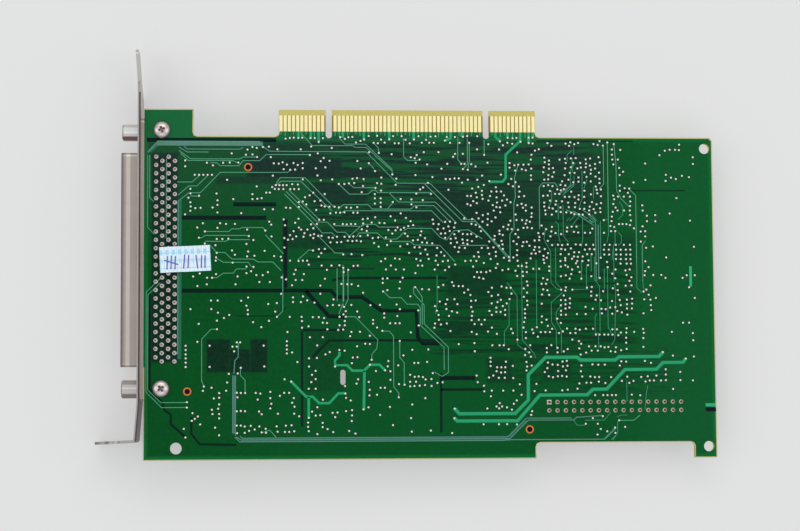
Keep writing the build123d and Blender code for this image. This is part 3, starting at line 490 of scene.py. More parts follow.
    "the far end": """
        130.5,96.9 130.1,95.8 131.7,96.3 132.9,96.7 137.7,96.4 139.6,97.3 139,96.1 140.6,95.9 142,96.9
        144,96.4 143.4,94.7 146,94.6 143.4,93.1 143.5,91.6 145.2,91.6 143.8,90.1 145.6,89 146.8,87.8
        145.7,86.8 145.7,83.5 147.2,82.7 148.6,82.6 145.7,81.9 148.2,81.3 143.6,80.4 145.1,80.1 146.9,80.1
        148.8,80.1 143.9,79.3 148.9,78.6 143.6,77.8 144.3,76.7 148.8,77.2 143.4,75.4 144.9,75.8 146.9,75.8
        148.7,75.8 143.1,73.9 148.8,74.4 140.6,72.8 143,72.5 149,72.7 145.3,71.6 146.4,71.6 147.6,71.6
        148.7,71.3 142.6,71 143.8,70.7 149.9,70.3 142.8,69.4 144.1,69.4 140.6,68.9 164.4,96.3 159.9,94.4
        161.4,94.7 163.1,94.7 164.3,94.6 158.2,93 168.6,92.4 153.7,90.4 168.6,90.3 160.1,86.9 161.7,86
        163.2,85.6 165.1,86.6 167.3,86.2 160,85 150,84.5 153.7,85.3 163.3,79.7 152.6,77.4 152.7,75.8
        154,74.2 156.6,74.4 154,72.5 156.6,72.5 161.1,74.9 167.4,72.7 152.6,70.9 152,69.3 153.4,69.4
        153.4,67.8 152,66.2 153.6,64.3 155.7,64.7 159.8,61.3 153.3,60.1 168.5,64.6 140.7,65.2 142.3,65.2
        144.2,65.2 146.7,65.2 148.6,65.2 140.5,63.7 142,63.7 144.3,63.7 145.7,63.7 147.3,63.7 148.7,63.7
        140.6,62.2 142.1,62.2 144.3,62.2 145.7,62.2 147.4,62.2 148.7,62.2 144.2,60.8 145.7,60.8 147.3,60.8
        148.7,60.8 130.6,91.9 132.1,92 135.2,91.6 136.6,91.9 139.2,92.3 131.3,90.5 133.5,90.5 135.3,90.3
        138.1,90.2 139.6,90.7 136.5,89.7 130.6,89.2 132.6,88.8 133.7,89.1 135.2,89.2 136.8,88.4 138.1,88.8
        134.8,87.6 130.2,87.4 131.7,87.4 139.3,87.5 136.7,87.2 132.9,86 135.4,86.2 138.2,86.3 139.4,85.6
        129.8,85.3 136.7,84.8 132.9,84.7 131.3,84.5 134.7,84.4 139.4,84.3 138.2,83.2 139.8,82.3 134.7,81.9
        130.6,81.6 138.5,82.2 138.7,81.1 136.7,80.8 132.9,80.5 139.8,80.2 130,80 131.6,79.9 134.6,80
        132.8,79.2 129.6,78.2 131.8,78.1 134.7,78.2 137,78.4 138.4,77.7 139.8,78.1 129.8,76.8 131.7,76.8
        133.2,76.3 134.6,76.3 136.3,77 139.5,76.5 136.1,75.8 137.5,76.2 129,75.2 130.5,75.1 139.6,75.3
        138,75.1 131.5,74.6 132.9,74.6 134.1,74.5 136.1,74.6 129.2,70.5 130.6,70.8 132.1,70.8 137,70.2
        129.1,69.3 131.3,69.2 132.6,69 134.7,68.9 136.3,68.9 129.3,65.3 131.8,65.3 133.2,65.2 135,65.2
        137.2,65.2 128.5,63.7 130.3,64.1 134.6,63.7 136.1,63.9 137.5,63.8 131.3,62.9 132.8,62.9 129.6,62.3
        135.3,62.3 136.7,62.3 131.2,61.6 132.4,61.5 133.9,61.6 128.5,61.1 139.5,61.2 135.7,60.4 132.2,60.2
        133.8,60.2
    """,
    "across the middle": """
        14.9,55.5 16.9,56.4 19.1,55.1 20.6,55.1 21.8,56.2 16.2,52.6 19,53.1 27.7,53.1 26.8,59.7 28.3,55.5
        31,58.5 33.1,58.4 32.4,57.1 31,56.5 34,55.9 35.9,55.9 37.5,56.8 34.9,53.8 38.1,53.8 41.7,55.2
        43,54.6 44.8,52.8 44.2,60.3 46.8,60.2 48.1,60.3 49.4,60.3 49.9,59.1 45.9,57.5 45.4,56.2 48.4,56.2
        45.9,54.4 47.9,54.4 53.8,58.8 55.4,57.5 56.8,58.8 59.2,58.9 60.4,58.1 60.5,56.8 61.9,57.5 63.5,58.7
        64.8,58.8 54.8,54.8 53.4,52.7 59.8,53.2 61.6,53.1 62.9,53.1 64.9,52.6 74.9,58.8 73.4,57.6 76.4,57.6
        78.9,57.6 72.4,54.8 73.8,54.9 77.7,53.8 78.5,55.1 72.4,53.5 82.4,56.5 83.2,58.8 84.5,58.8 88.3,57.6
        89.3,59 91.5,57.4 94.6,59.1 92.7,58.4 100.1,58.5 103.4,59.6 101.3,56.8 102.5,56.8 104.1,56.8
        100.4,55.3 101.9,55.1 103.2,54.8 105.3,57.2 107.1,58.1 107.6,59.3 109.1,57.4 110.9,57.7 114,58.7
        113.1,57.2 115.1,58.7 116.5,59.6 116.5,58.4 115.3,56.9 113.6,55.6 115.4,55.6 116.6,56.8 116.6,53.9
        118.6,57.8 120.4,57.8 122,59.6 123.5,58.5 123.5,57.2 121.6,54.9 122.9,54.5 121.1,53.2 122.5,53.2
        128.5,60.4 127.1,58.5 128.5,58.9 129.3,58.4 130.6,60.9 131.8,59.5 132.4,58.4 130.6,57.6 130.3,56.2
        128.6,55.8 127.1,55.5 129.8,54.8 132.9,56.8 133.4,54.8 135.5,58.9 136.5,55.5 138.1,59.5 139.1,55
        141.4,59.9 141.6,58.3 144,57.6 143,56.3 143.9,54.9 145.6,59.4 147.5,59.4 148.8,59.4 147.1,57.3
        148.4,57.6 147.4,55.9 148.9,55.2 148.3,54.1 147.1,52.6 148.9,52.7 144.6,53.1 154.3,58.3 153.2,57.1
        153,55.8 154.8,52.7 155.7,55.9 158.2,55.9 159.5,55 164.8,55 166.1,55.8 168.6,55.8
    """,
    "left of the middle, towards the plain long edge": """
        82.3,52.2 77.5,51.8 84.4,51.6 86.5,51.5 89.4,52.2 72.5,50.9 73.8,51.3 41.5,50.2 53.4,50.2 66.4,50.5
        31.5,49.1 45.1,49.1 48.1,49.4 80.8,49.4 20.3,48.2 22.3,48.2 29.4,48.1 31,46.6 31.4,45.3 31.4,44
        45.1,47.7 47.5,47.7 49.4,48.2 51.6,47.5 57.4,48.5 57.2,46.8 59.1,46.7 55.5,46.6 60.6,46.2 62.8,46.8
        64.6,44.8 68.6,46.7 71.5,46.8 76.6,46.9 77.6,45.5 83.2,45.1 40.2,47.4 37.6,47.1 39.7,44.8 40.2,43.2
        14.1,45.6 20.4,45.6 22.4,44.5 25.8,43.8 24.2,42.9 33,41.6 37.8,42 35.5,40.1 22.1,42.1 16.6,41.1
        22.1,39.5 44.1,43.2 47.7,43.2 51.1,43.1 52.9,43.1 54.5,42.8 47.8,41.9 47.8,39.9 49.8,40.3 54.1,41.4
        55.4,41.3 55.5,39.4 59.2,43.2 60.4,43.9 61.1,44.9 61.1,43.2 60.8,41.9 59.2,40.6 60.8,40.6 58.8,39.2
        60.3,39.3 65.2,43.1 69.4,42.2 69.4,41.1 72.8,44.2 72.8,42.9 76.8,43.4 74.6,41.2 76.2,41.2 77.5,41.2
        70.6,39.9 83.3,40.5 88.3,46.4 88.9,45 89.4,43.7 89.5,42.2 88.3,41.1 88.1,39.8 43.4,38.6 50.2,37
        54.1,37 62.8,38.6 62.4,37.3 65.4,38.6 68.4,37.4 72.2,38.9 80.9,38.4 16.2,35.7 12.7,34.5 12.7,33.2
        12.7,31.9 12.7,30.7 12.7,29.4 12.7,28.1 19.9,34.5 19.9,28.1 36.2,34.5 36.4,28.2 28.1,35.5 29.1,35.5
        26.8,34.2 28.1,34.2 27.3,32.8 43.2,35.8 43.2,34.5 43.2,33.3 43.2,32.1 44.8,32.4 52.4,34.5 56.2,32.5
        54.9,31.8 59.1,33.1 60.7,32.9 64.5,34.2 67,35 68.4,34.9 77.5,35.8 81.3,33.1 86.2,33.2 78.6,31.4
        46.4,29.5 49.9,30.6 52.3,30.7 49.9,28.1 57.8,28.1 63.2,30.8 64.6,30.9 62.9,29.1 68.9,30.1 68.4,28.6
        74,29.7 73.8,28.1 77,28.4 81.9,29.1 83.1,29.1 85.8,29.4 73,26.9 74.6,26.6 70.2,26.7 29.3,27.8
        25.7,26 28.4,26.1 51.9,26.8 50.8,25.6 51.9,24.3 50.6,23.4 49.8,21.4 51.9,21.4 42.5,24.3 44.5,23.6
        25.2,23.4 24.9,20.9 20.5,21.8 18.2,22.2 17.9,20.9 22.8,20.2 21.2,18.6 22.8,18.8 22.8,16.8 22.5,15.5
        20.6,15.2 20.8,13.9 22.8,13.9 22.8,12.6 21.6,9.8 22.8,7.5 14.8,14.2 16.4,13.2 15.5,12.5 14.6,11.9
        17.1,10.8 12.2,9.5 12.7,6.9 13.1,17.5 13.1,15.9 28.1,20.3 29.3,20.2 30.6,20.2 28.3,18.9 33.8,20.2
        35.2,20 34.4,18.2 38.2,20.5 38.2,18.6 38.5,16.9 38.2,15.5 41.1,19.3 42.4,20.2 43.9,20.2 45.3,18.6
        44.8,17.2 45.5,16 45.4,13.9 46.9,13.1 28.1,14.7 29.3,14.8 30.6,14.7 34.8,14.6 35.6,13.8 40.5,13.9
        28.1,10.4 29.3,10.4 30.5,10.1 32.3,10.3 34.9,10.1 40.1,10.1 42.9,10.3 44.6,10.4 33.5,9.2 31.8,8.8
        36.8,9.4 28.2,8.1 30.5,8.2 35.6,8.3 36.9,8.2 40.4,8.5 42.6,8.4 43.9,8.4 45.4,8.6 49.6,11.2 49.6,9.9
        49.8,8.6 49.8,12.6 52.4,7.7 50.8,14.5 52.4,15.8 51.9,13.3 53.3,13.4 54.1,18.1 54,11.1 54,9.8
        55.5,9.2 57.2,8.3 57,14.1 58.5,14.2 57.8,12.8 61.1,14.6 61.1,18.6 60.9,19.9 62.5,17.8 62.9,14.9
        62.9,13.3 62.8,11.6 62,8.6 63.9,7.8 66.4,15.1 67.9,15.7 68,23.4 64.3,22.9 64.8,24.2 60.8,22.2
        68.3,21 68.2,19.3 70.5,19.5 71.6,21.6 72.9,21.6 74.6,24 74.6,20.5 77.2,22.7 78.9,22.5 77.1,18.7
        74.4,15.8 71.4,13.4 75.3,10.3 80.6,25.5 82,24.9 83.2,25 84.5,24.8 80.6,23.4 82.4,23.4 80.6,22
        81.9,22.1 83.5,22.2 85.1,22.4 85.3,24.1 87.1,24.2 87.1,22.1 88.9,23 87.5,26 85.2,18.4 81.2,16.5
        80.8,12.4 81,8.3 86.8,8.6
    """,
    "right of the middle, towards the plain long edge": """
        90.9,52.9 94.1,52.6 95.6,52.5 96.9,52.5 93.6,53.7 98.5,51.4 97.3,50.5 99.2,49.8 92.1,48.4 94.3,48.5
        89.8,47.8 91.6,47 95.2,47 91.8,45.5 93.5,44.8 95.1,44.4 92.6,43.4 90.1,40.8 91.9,41.1 93,38.8
        99.4,48 100.8,48.1 99.4,46.1 99.8,44.7 99.6,43.4 99.5,42.1 100.4,40.9 101.7,42.2 103.5,42.2
        102.5,40.8 99.5,38.5 101,37.8 100.3,35.1 100.4,32.6 95.5,34.8 104.7,50.7 105.8,52 105.7,49.5
        107.7,49.8 105.7,47.2 107.5,47.6 108.5,48.3 110.3,47.2 111.2,48.5 111.8,50.2 110.3,52 111.6,52
        108.8,52.4 107.1,45.9 109.1,46.4 105,44.9 107.1,44.6 108.4,44.6 109.8,45.2 109.8,43.7 105.7,43.7
        105.7,39.8 104.5,38.6 107.2,37.9 105.8,34.4 108,34.4 109.3,34.4 110.8,33.2 111.6,39.4 112.1,38.1
        113.5,36.1 115.6,51.8 116.8,52.7 115.6,49.2 116.6,48 116.6,50.5 116.7,46.7 115.9,45.4 115.9,44.1
        115.9,42.8 115.6,41.5 115.4,39.8 116.1,38.4 116.1,36.6 117.4,34.4 115.9,33.3 115.8,31.4 117.1,32.2
        117.6,30.9 116.2,29.3 116.4,27.9 116.2,26.7 117.8,28.2 118.1,39.2 119.5,39.9 118.4,38.1 119.8,37
        120.7,38.4 122.1,38.4 123.5,38.4 124.2,39.4 122.9,40.3 126.3,38.1 127.5,38.6 128.8,39.5 129.8,38.1
        131.4,38.1 131.4,39.4 132.7,39.1 134.6,39.4 136.8,39.4 137.7,37.6 138.8,37.6 140.3,37.6 141.5,37.6
        142.8,37.6 142.8,39.2 144.2,39.2 144.6,37.4 145.4,38.2 147.2,39.5 147.1,38.2 147,36.6 147,35.1
        147.1,33.2 149.5,38.4 152.3,39.3 152.5,38.1 152.3,36.5 152.3,33.8 161.2,38.4 167.7,38 167.8,35.8
        164.7,41.2 166.6,41.2 121.6,51.5 122.9,51.2 121.2,49.9 123.4,49.8 121.1,47.1 121.1,43.2 122.5,42.2
        121,41.4 125.8,42.5 126.9,41.2 127.1,51.4 128.6,52.1 128.4,51.1 130.6,51.4 127.9,49.6 127,48.2
        128.4,48.2 129.8,48.7 129.8,47.2 127,46.6 128.4,46.9 128.4,45.6 129.6,45.9 127,44.9 127,43.7
        128.5,43.7 131.9,43.9 134.6,46.1 134.6,43.9 136.8,45.5 137.7,48.3 136.4,49.5 138.1,49.6 136.4,50.8
        136.6,52.2 135.1,52 140.1,50.9 139.4,48.1 139.5,45.5 140.8,45.4 139.6,44.1 142.2,45.9 142.8,47.9
        142.8,44 143.8,46 145.2,48.2 144.8,49.8 144.6,51.2 143.1,51.8 145.5,46.6 144.4,44.8 145.8,44.4
        147.4,48.3 147.4,46.9 147.4,45.6 147.5,43.7 149,48.6 149,47.1 148.9,45.6 148.5,50.8 152.6,50.8
        153.5,51.4 154.2,49.8 152.8,48.4 154.7,48.3 156.4,48.8 154.8,46.6 154.9,45.1 152.5,44.1 168.5,48.8
        166.8,52.1 130.4,36.1 132.4,35.6 133.1,34.8 132.5,33.4 132.9,31.5 134.6,32.1 135.5,34 136.3,32.7
        137.5,34 138.2,32.7 139.1,34 140.3,33.7 141.5,33.8 142.2,32.5 143.6,32.3 143.8,33.7 145.4,32.8
        122.5,33.5 122.5,32.2 123.9,34.4 125.8,33.6 125.8,32.2 127.7,32.5 128.9,33.2 122.8,29.1 124.2,28.5
        125.8,28.4 122.6,27.4 121.8,26.2 123,24.9 124.3,24.6 125.8,24.9 125.9,26.5 127.3,29.4 127.4,27.9
        128.6,29.6 128.8,28.1 128.3,26.7 127.1,25 128.5,24.8 133.1,28.2 132.9,26.4 133.3,24.8 132.4,22.7
        134.6,22.9 136,22.9 135.8,24.8 137.2,24.6 138.5,24.6 138.4,23.2 140.4,22.8 136.5,28.5 138.3,28.4
        140.3,28.4 142.2,24.6 144.9,28.1 145.4,29.4 146.9,29.3 145.5,23.4 147.2,24.7 147.8,22.8 149.1,23.4
        151.5,24.6 152.8,23.2 153.5,24.8 154.1,23.5 155.4,23.5 156.2,25 157.6,23.5 159.1,23.6 159.1,25.3
        159.1,26.9 163.6,26.1 163.6,23.6 161.3,20.9 154.6,28.9 152.7,29.5 161.4,31.1 167.9,30.8 167.5,23.5
        158.3,32.2 165.4,30.2 122,20.6 127.1,20.6 128.8,20.8 131.8,21.1 119.2,22.6 118.6,20.4 114.6,19.3
        113.1,17.6 112.2,16.6 111.6,14.8 110.1,15.5 108.6,15.8 107.9,16.8 106.9,15.8 107.7,15.2 104.1,15.2
        105.2,18.9 103.2,20.4 105.5,20.6 109,20.6 112.1,20.6 114.1,22.5 103.1,22.1 101.2,23.2 100.9,25.2
        104.7,24.6 106,25.2 107.7,24.5 107,26.5 108.4,26.1 109.6,26.2 109.5,24.5 112.1,24.4 107.2,27.7
        108.5,27.7 109.7,27.7 109.9,29.4 112,28.1 105.2,30.6 105.2,29.4 105.2,28.1 90.5,23.2 137.2,19.1
        139.7,19.1 141,19.1 142.4,19.1 143.6,19.1 148.5,19.2 151.1,19 117.8,14.3 117.5,13.2 113.1,10.3
        110.1,10.4 107.6,10.4 102.9,10.4 93.3,7.8 94.1,15.2 94,12.3 134.2,10.4 136.4,12.1 137.9,10.4
        139.5,12.7 138.8,8.8 137.8,7.1 140.8,8.1 143.2,9.2 143.3,7.6 144.5,11.4 146.3,9.4
    """,
}
VIAS = [place for field in VIA_FIELDS.values() for place in places(field)]

# The runs follow; a backslash joins the lines of a long one.

# Wide power runs, seen bright through the mask.
POWER_TRACES = runs("""
    94.1,15.2 95.5,13.6 112.6,13.6 116.7,17.7 116.7,25.4 122.1,30.7 131.8,30.7 132.8,29.8 143.5,29.8 \
    144.8,30.8 157.1,30.8 158.3,32.2
    94,12.3 94.9,11.4 113.4,11.4 120.2,19.2 134.8,19.2 136.5,20.9 140.8,20.9 146.5,26.9 156.2,26.9 \
    158.3,29 164.5,29 165.4,30.2
""")
# Narrower bright runs and the stubs below the fingers.
MEDIUM_TRACES = runs("""
    44.5,23.6 49,19 51,19 53,17 56,17 58.8,20 60.9,20
    49.8,19 49.8,12.6
    59.1,32.5 59.2,31.5 57.8,30 57.8,28.5 61.5,28.5 63,26.8 66.6,26.8 68.4,28.6 71.3,28.6 73,26.9
    66.7,26.8 66.5,15.1
    115,99.9 115,97.3 110.4,93 110.4,85.8 109.4,84.6 105.3,84.6
    46.8,99.9 46.8,98
    50.6,99.9 50.6,98
    53,99.9 53,96.9
    60.4,99.9 60.4,98
    66.8,99.9 66.8,97.6
    74.6,99.9 74.6,97.6
    82.1,99.9 82.1,97.6
    97,99.9 97,98.5
    111,99.9 111,98.4
    117.6,99.9 117.6,96.6
    118.9,99.9 118.9,98.4
    93.5,99.9 93.5,98 91.7,97.2
    107.3,99.9 107.3,98.5 108.7,97.3
""")
# Bundles of runs that read as one grey band.
BUS_TRACES = runs("""
    27.5,7 29,5.5 109,5.5 110,5.7 140,5.7 143.5,9
    28,7 29.4,6.05 110.9,6.05 116.6,11.6 130.6,11.6 131.4,12.4 139.5,12.9
    29,7.2 29.8,6.6 110.4,6.6 116,12.2 129.9,12.2
    27.3,25.5 27.3,8
    26.9,25.5 26.9,8
    27.7,25.5 27.7,7.4
    27.2,26 27.5,30 28.5,31 28.6,35.5
    6.75,91.5 6.75,67
    10.5,78.6 13.5,81
    3.5,96.2 36,96.2
    3.6,95.9 36,95.9
    3.6,96.5 35.5,96.5
    1.2,93.3 3.7,95.9
    3.8,95.6 35.6,95.6
    1,93.5 3.5,96.2
    12,95.3 13,94.4 29,94.4 30,94.9
    138,72 138,54
    138.8,71.4 138.8,54.6
    127,81 131.5,84
""")
# Single signal runs.
SIGNAL_TRACES = runs("""
    35.6,95.6 38,93.8 67.5,93.7 77,84.1 85.2,84.1 90,79.3 97,72.3 101,72.3 110.5,61.5
    85.2,84.1 87,84.1 98.5,72.9
    97,72.9 100.6,72.9 111.4,61.2
    4,96.8 35,96.8
    1.1,92.5 1.1,70.4 3.2,68.3
    1.7,92.5 1.7,79.5 2.9,78.3
    5.3,55.2 0.8,50.8 0.8,20.6 5.5,15.9 13,15.9
    5,53.6 1.3,49.9 1.3,21.3 5.3,17.4 13,17.4
    10.3,78.6 10.3,32
    60.3,59 60.3,46
    58.5,58 58.5,48
    61.8,57.4 61.8,48.4 60.9,46.6
    10.5,95 13,93.5 19.5,93.5
    10.5,94 14,91.4 29,91.4 30,92 34,92
    11,93.2 13.3,90.9 27,90.9 28,90.3
    20,90.2 22,90.2 23,89.3 28.7,89.3 30,90.9 35,90.9 37,92.8 50,92.8
    10.3,80.3 13.5,83.1 16,83.1 19.2,86.3
    10,84.3 14.5,84.3 17,86.5
    14,81 17,81 23,87.3 43.5,87.3 44.3,88
    14,80 16.5,80
    18.3,69.2 25.7,69.2 26.5,70 29,70 29.5,70.4 36,70.4 36.7,69.5
    36.7,68.2 42.2,62.4
    16.6,67.3 17.5,67.3 18.5,68 31.5,68
    18.5,66.2 24.7,66.2 25.5,66.7 32,66.7
    20,65 22,62.8 24.4,62.8 26.6,60.8 33,60.8 34.5,59.9 39,59.9 41.5,57.3
    22,61 24,59.8 31.5,59.8 32.5,58.5
    20.6,55.1 22,55.1 24,56.5 27,56.5 28,57.8 31,57.8
    40,84 41.3,85.7 48.8,85.7 57.5,76.8
    40,83.4 41.5,84.6 47.5,84.6 57,75.5
    42.5,80.7 52.5,70.5 54,68.8 57,68.8 58,67.8
    43,81.5 52.5,72.1 55.6,72.1 58.5,69 61,69 62.3,67.8
    43.8,82 53,73
    47.5,99.5 51,95.6 63.5,95.6 64,95.1 67.5,95.1 75.4,87.9
    59.3,98 61,96.1 67.3,96.1 75.4,88.4 75.5,86.9
    68.3,90.2 70,88.4
    70,96.3 71.2,95 71.4,93.5
    79,98 79,92.3 80.2,91.1 83.3,91.1 84,91.4
    59.2,83.7 62.3,80.7 68,80.7 69.3,81.9 70.3,81.9 71,81.2 87.3,81.2
    62.3,83.9 63.6,82.7 70,82.7
    74.3,81.3 77.3,78.3 88.7,78.3 95,72
    58.8,76 60.5,77.5 68,77.5 69.3,76.1 81,76.1 82.3,77.2 88.2,77.2 93,72.3
    60,75.1 61,75.6 87.5,75.6 91,72
    74,76.2 75.6,78.1
    57.7,71 66,70.8 67,71.4 70.3,71.4 71.2,70.6 76.5,70.6
    62.5,68 66.3,71.3
    64.4,67.5 65.3,68.8 70.8,68.8 72.9,66.9 76.7,66.9 79,69
    75,66.2 80.8,66.2 82.2,65.1 90,65 94.5,60
    79,69.6 80,70.2 87.5,70.2 90,67.5 92,66.6 94.3,69.5 98.7,69.8 103,67
    52.8,67.9 57.8,62.7 60.4,62.6
    46.5,60.5 50,63.6 51.2,63.4
    96,65 104.7,65
    95.7,98.5 95.6,91.5 96.7,90.2
    98.6,98 98.6,90 97.3,88.6
    99.2,97 99.2,91 98.8,88.7
    103.8,97.5 103.8,93.2
    114.3,90 113.1,86 113.3,80 112.8,78 112.8,70 111.5,68.5 111.5,60
    120.7,70 120.7,83 121.8,84.3 125.5,84.3 126.5,83
    142,97 142,72
    140.7,96 140.7,84 139.3,82.5
    144,96.5 144.6,90 144.7,82 146,79.5 148.5,77
    148.7,82.3 150.6,80.5 150.6,54
    152.4,54 152.4,65 153.4,66.5
    129,76 133,74.2 137,71.5
    131,75.6 134.5,74 137.4,72
    134,76 136.2,74.6 138,72.6
    22,39.5 20.3,39.5 17.5,36.5 17.5,24 18.2,22.2
    29.2,27.7 29.2,25.5 30.6,24 30.6,20.2
    40.2,43.2 42,45 42,56
    61.1,43.2 64,43.2 70.8,36.2 70.5,33.5 69,31.8 68.9,30.1
    72.2,38.8 74.3,38.8 75.6,37.3 75.6,21.9 77.1,20 77.1,18.7
    77.5,35.8 77.5,30.8 78.8,29.2 78.8,22.5
    72.5,51 74.5,49 78,49 79.8,47 83,47 83.8,46 83.8,40.6 91,33.8 91,27
    81.8,52.3 81.8,50.3 85,46.8 85,41 92.3,33.9 92.3,26.2 90.4,25 88,26.3
    82.6,52 84.4,49.2 84.4,40.8
    144.5,11.4 149,11.4 151,13
    36,8.3 38,9 40,6.8
    60.5,58 60.5,48 59,44
""")
# Finer runs between the dense vias.
FINE_TRACES = runs("""
    131,94.5 129.5,93 129.5,91
    131.5,95.5 131.5,93
    131,92 131,87.5
    132,90.5 130.5,88.5 130.5,84 128,80.5
    131.5,86.5 131.5,83.5 128.5,81
    134,88 134,79.5 133,77
    135.5,85.5 134.5,82.5
    137.5,83 137.5,79.5
    124.5,82 124.5,78.5 123.5,77
    125.5,72.5 126.5,71.5 126.5,68 127,66
    128,77.5 128,68 129.5,66
    126.5,78 126.5,73
    130,73.5 129,72.5
    131.5,74 130,72.5
    133,74 131,71.5
    134,73.5 134,67 133.5,64.5
    135.5,73.5 137.5,71
    136,74 138,72
    137,74.5 138.5,72.5
    138,72.5 138,61.5
    139.5,72.5 139.5,61.5
    141,73 142,73
    142,72 142,68.5 141.5,66
    145.5,78.5 146.5,77 146.5,74.5 145,73
    145,69 146,68 146,66 145,65
    144,69 144,66 143.5,65 143,60.5
    143.5,64 143.5,54
    122.5,70.5 122,67 124,63 124,53.5 126,51.5 127,51.5
    125.5,64.5 125.5,53.5 127,52
    127.5,50.5 124,47.5 124,41.5 125.5,39 125.5,33
    127,46.5 125.5,44.5 125.5,42 127,39 127,32
    137.5,61.5 137.5,54.5 139,52.5 139,38.5
    138,44 137.5,43 137.5,38 138.5,38 138.5,33.5
    141.5,53 141.5,40 142.5,38
    143.5,53 144,51 143.5,36 142.5,34.5
    131,51.5 135.5,51.5 135,52.5
    150.5,59.5 150.5,52 152,50.5
    152.5,59.5 152.5,52 153.5,51
    141.5,58 141.5,53.5
    119.5,60.5 119.5,40.5
    115,59.5 115,36 118.5,32 119,30.5
    133.5,60.5 133.5,55
    135,59 135,52.5
    136.5,62.5 136.5,57
    140.5,58 140.5,51.5
    89,56 89,47.5 88.5,44
    110.5,53.5 113.5,49.5 113.5,34.5 117,32
    111,47.5 111,40.5 109.5,38.5 109.5,34.5
    130.5,11.5 131.5,10 134,10
    134,11.5 140,11.5 142,14
    144,12.5 145,13 147,13
    144,11 144,7.5 142.5,5.5
    140,6 143,9
    142,5.5 143.5,7
    147,23.5 147,17
    153.5,22 153,19.5 152.5,14.5
""")
# Wide stretches where many runs lie side by side.
BANDS = runs("""
    29.6,5.95 111.2,5.95
    110.7,6.4 115.9,11.5
    4,96.25 36,96.25
    10.8,78.8 10.8,30.5
    1.7,93.6 4.2,96.1
""")
# Gaps between the inner copper planes, seen dark through the mask.
WIDE_GAPS = runs("""
    11,51.2 56.5,51.2 58.5,49.2 66,49.2 72,45 82.5,45 83,37 84.5,35 90,35
    49,51 56,43.4 61,43.2
    0.8,97.2 40,97.2
    10,73.4 37,73.4
    27,77.5 40,77.5
    42.8,52 42.8,73
    90,24.5 100.5,24.5
""")
# Narrower gaps of the same kind.
NARROW_GAPS = runs("""
    1.95,51 1.95,21.5 6,17 6.4,15.2 8.3,13.8 8.3,11 12.7,7
    47.8,39 47.8,10
    48,39.2 60,39.2
    51,31 56,36 90,36
    57,54.3 60,55 92,55
    14.5,13 14.5,8 17,4.9 28,4.6
    90,26 90,8
    90,21 103,21
""")
# The thinnest gaps, which show faintly.
THIN_GAPS = runs("""
    92,33 120,33
    28,43.5 40,43.5 43,46
    45,57.9 70,57.9
    48,60.6 66,60.6
    120,97.3 150,97.3
    144,82 166,82
""")


# ---------------------------------------------------------------- materials

# Areas where no inner plane backs the mask, as (x low, x high, y low, y high, depth of tone, soft edge).
DARK_AREAS = [
    (19, 26, 26.5, 36.4, 0.85, 0.4),
    (32.2, 37.3, 26.4, 36.5, 0.85, 0.4),
    (25.9, 32.2, 26.5, 33.4, 0.85, 0.4),
    (2.4, 10.3, 29.6, 93.2, 0.8, 0.5),
    (49, 60.5, 20.5, 38.8, 0.3, 0.5),
    (31, 60, 85.5, 91.8, 0.85, 0.8),
    (35, 52, 91, 96.5, 0.6, 1.0),
    (22, 40, 83.8, 86, 0.6, 0.5),
    (50, 68, 78.3, 83.6, 0.75, 0.7),
    (60, 90, 73.8, 76, 0.85, 0.5),
    (42, 61, 64, 70.5, 0.55, 0.8),
    (97.5, 103.5, 96, 98.5, 0.8, 0.4),
    (87, 110, 62, 79, 0.8, 2.0),
    (92, 110, 49, 58, 0.6, 1.5),
    (104, 124, 60, 86, 0.6, 2.5),
    (123, 141, 72, 93, 0.45, 1.5),
    (128, 150, 58, 68, 0.45, 2.0),
    (104, 112, 23, 30.5, 0.55, 1.0),
    (121, 130, 23.5, 30, 0.5, 1.0),
]
# Areas crossed by fine inner runs along the board, as (x low, x high, y low, y high, depth of tone).
STRIPED_AREAS = [(50, 137, 60, 98, 0.85), (88, 150, 31, 60, 0.65), (112, 160, 20, 33, 0.4)]
PLANE_INSET = 1.2                    # the inner planes end this far inside the board's edges
MASK_SHEEN = {"Specular_IOR_Level": 0.07}
FAINT_SHEEN = {"Specular_IOR_Level": 0.1}
FOOT_START, FOOT_LEAN = 17.2, 4.6    # the bracket leans outwards below this place, by so many degrees


def inner_dark(shade):
    """How dark the mask is where inner copper is missing or runs as fine lines."""
    dark = 0.0
    for x_low, x_high, y_low, y_high, depth, soft in DARK_AREAS:
        mask = shade.area(x_low, x_high, y_low, y_high, soft)
        dark = shade.math("MAXIMUM", dark, shade.math("MULTIPLY", mask, depth))
    stripes = shade.band(shade.noise(880, 2.0, (0.045, 1, 0)), 0.48, 0.54)
    for x_low, x_high, y_low, y_high, depth in STRIPED_AREAS:
        mask = shade.math("MULTIPLY", shade.area(x_low, x_high, y_low, y_high, 3.0), stripes)
        dark = shade.math("MAXIMUM", dark, shade.math("MULTIPLY", mask, depth))
    return dark


def mask_tone(shade, x, y, weave):
    """Green of the solder mask, the inner copper showing through, and a painted sheen."""
    tone = shade.mix(shade.band(x, spot(20).x, spot(60).x), srgb(0, 72, 25), srgb(2, 76, 31))
    tone = shade.mix(shade.band(x, spot(140).x, spot(158).x), tone, srgb(8, 82, 38))
    inner = shade.area(PLANE_INSET, BOARD_LENGTH - PLANE_INSET, PLANE_INSET, MAIN_EDGE - PLANE_INSET, 0.5)
    tone = shade.mix(inner, srgb(6, 98, 44), tone)
    tone = shade.mix(inner_dark(shade), tone, srgb(9, 30, 26))
    # Painted reflection: a faint purplish sheen over the mask, strongest by the finger edge and fading out
    # before the far end.
    painted_sheen = shade.math("MULTIPLY", shade.band(y, spot(0, 55).y, spot(0, 96).y),
                      shade.band(x, spot(150).x, spot(132).x))
    tone = shade.mix(shade.math("MULTIPLY", painted_sheen, 0.08), tone, srgb(84, 78, 108))
    return shade.mix(shade.math("MULTIPLY", shade.band(weave, 0.3, 0.7), 0.05), tone, srgb(30, 130, 80))


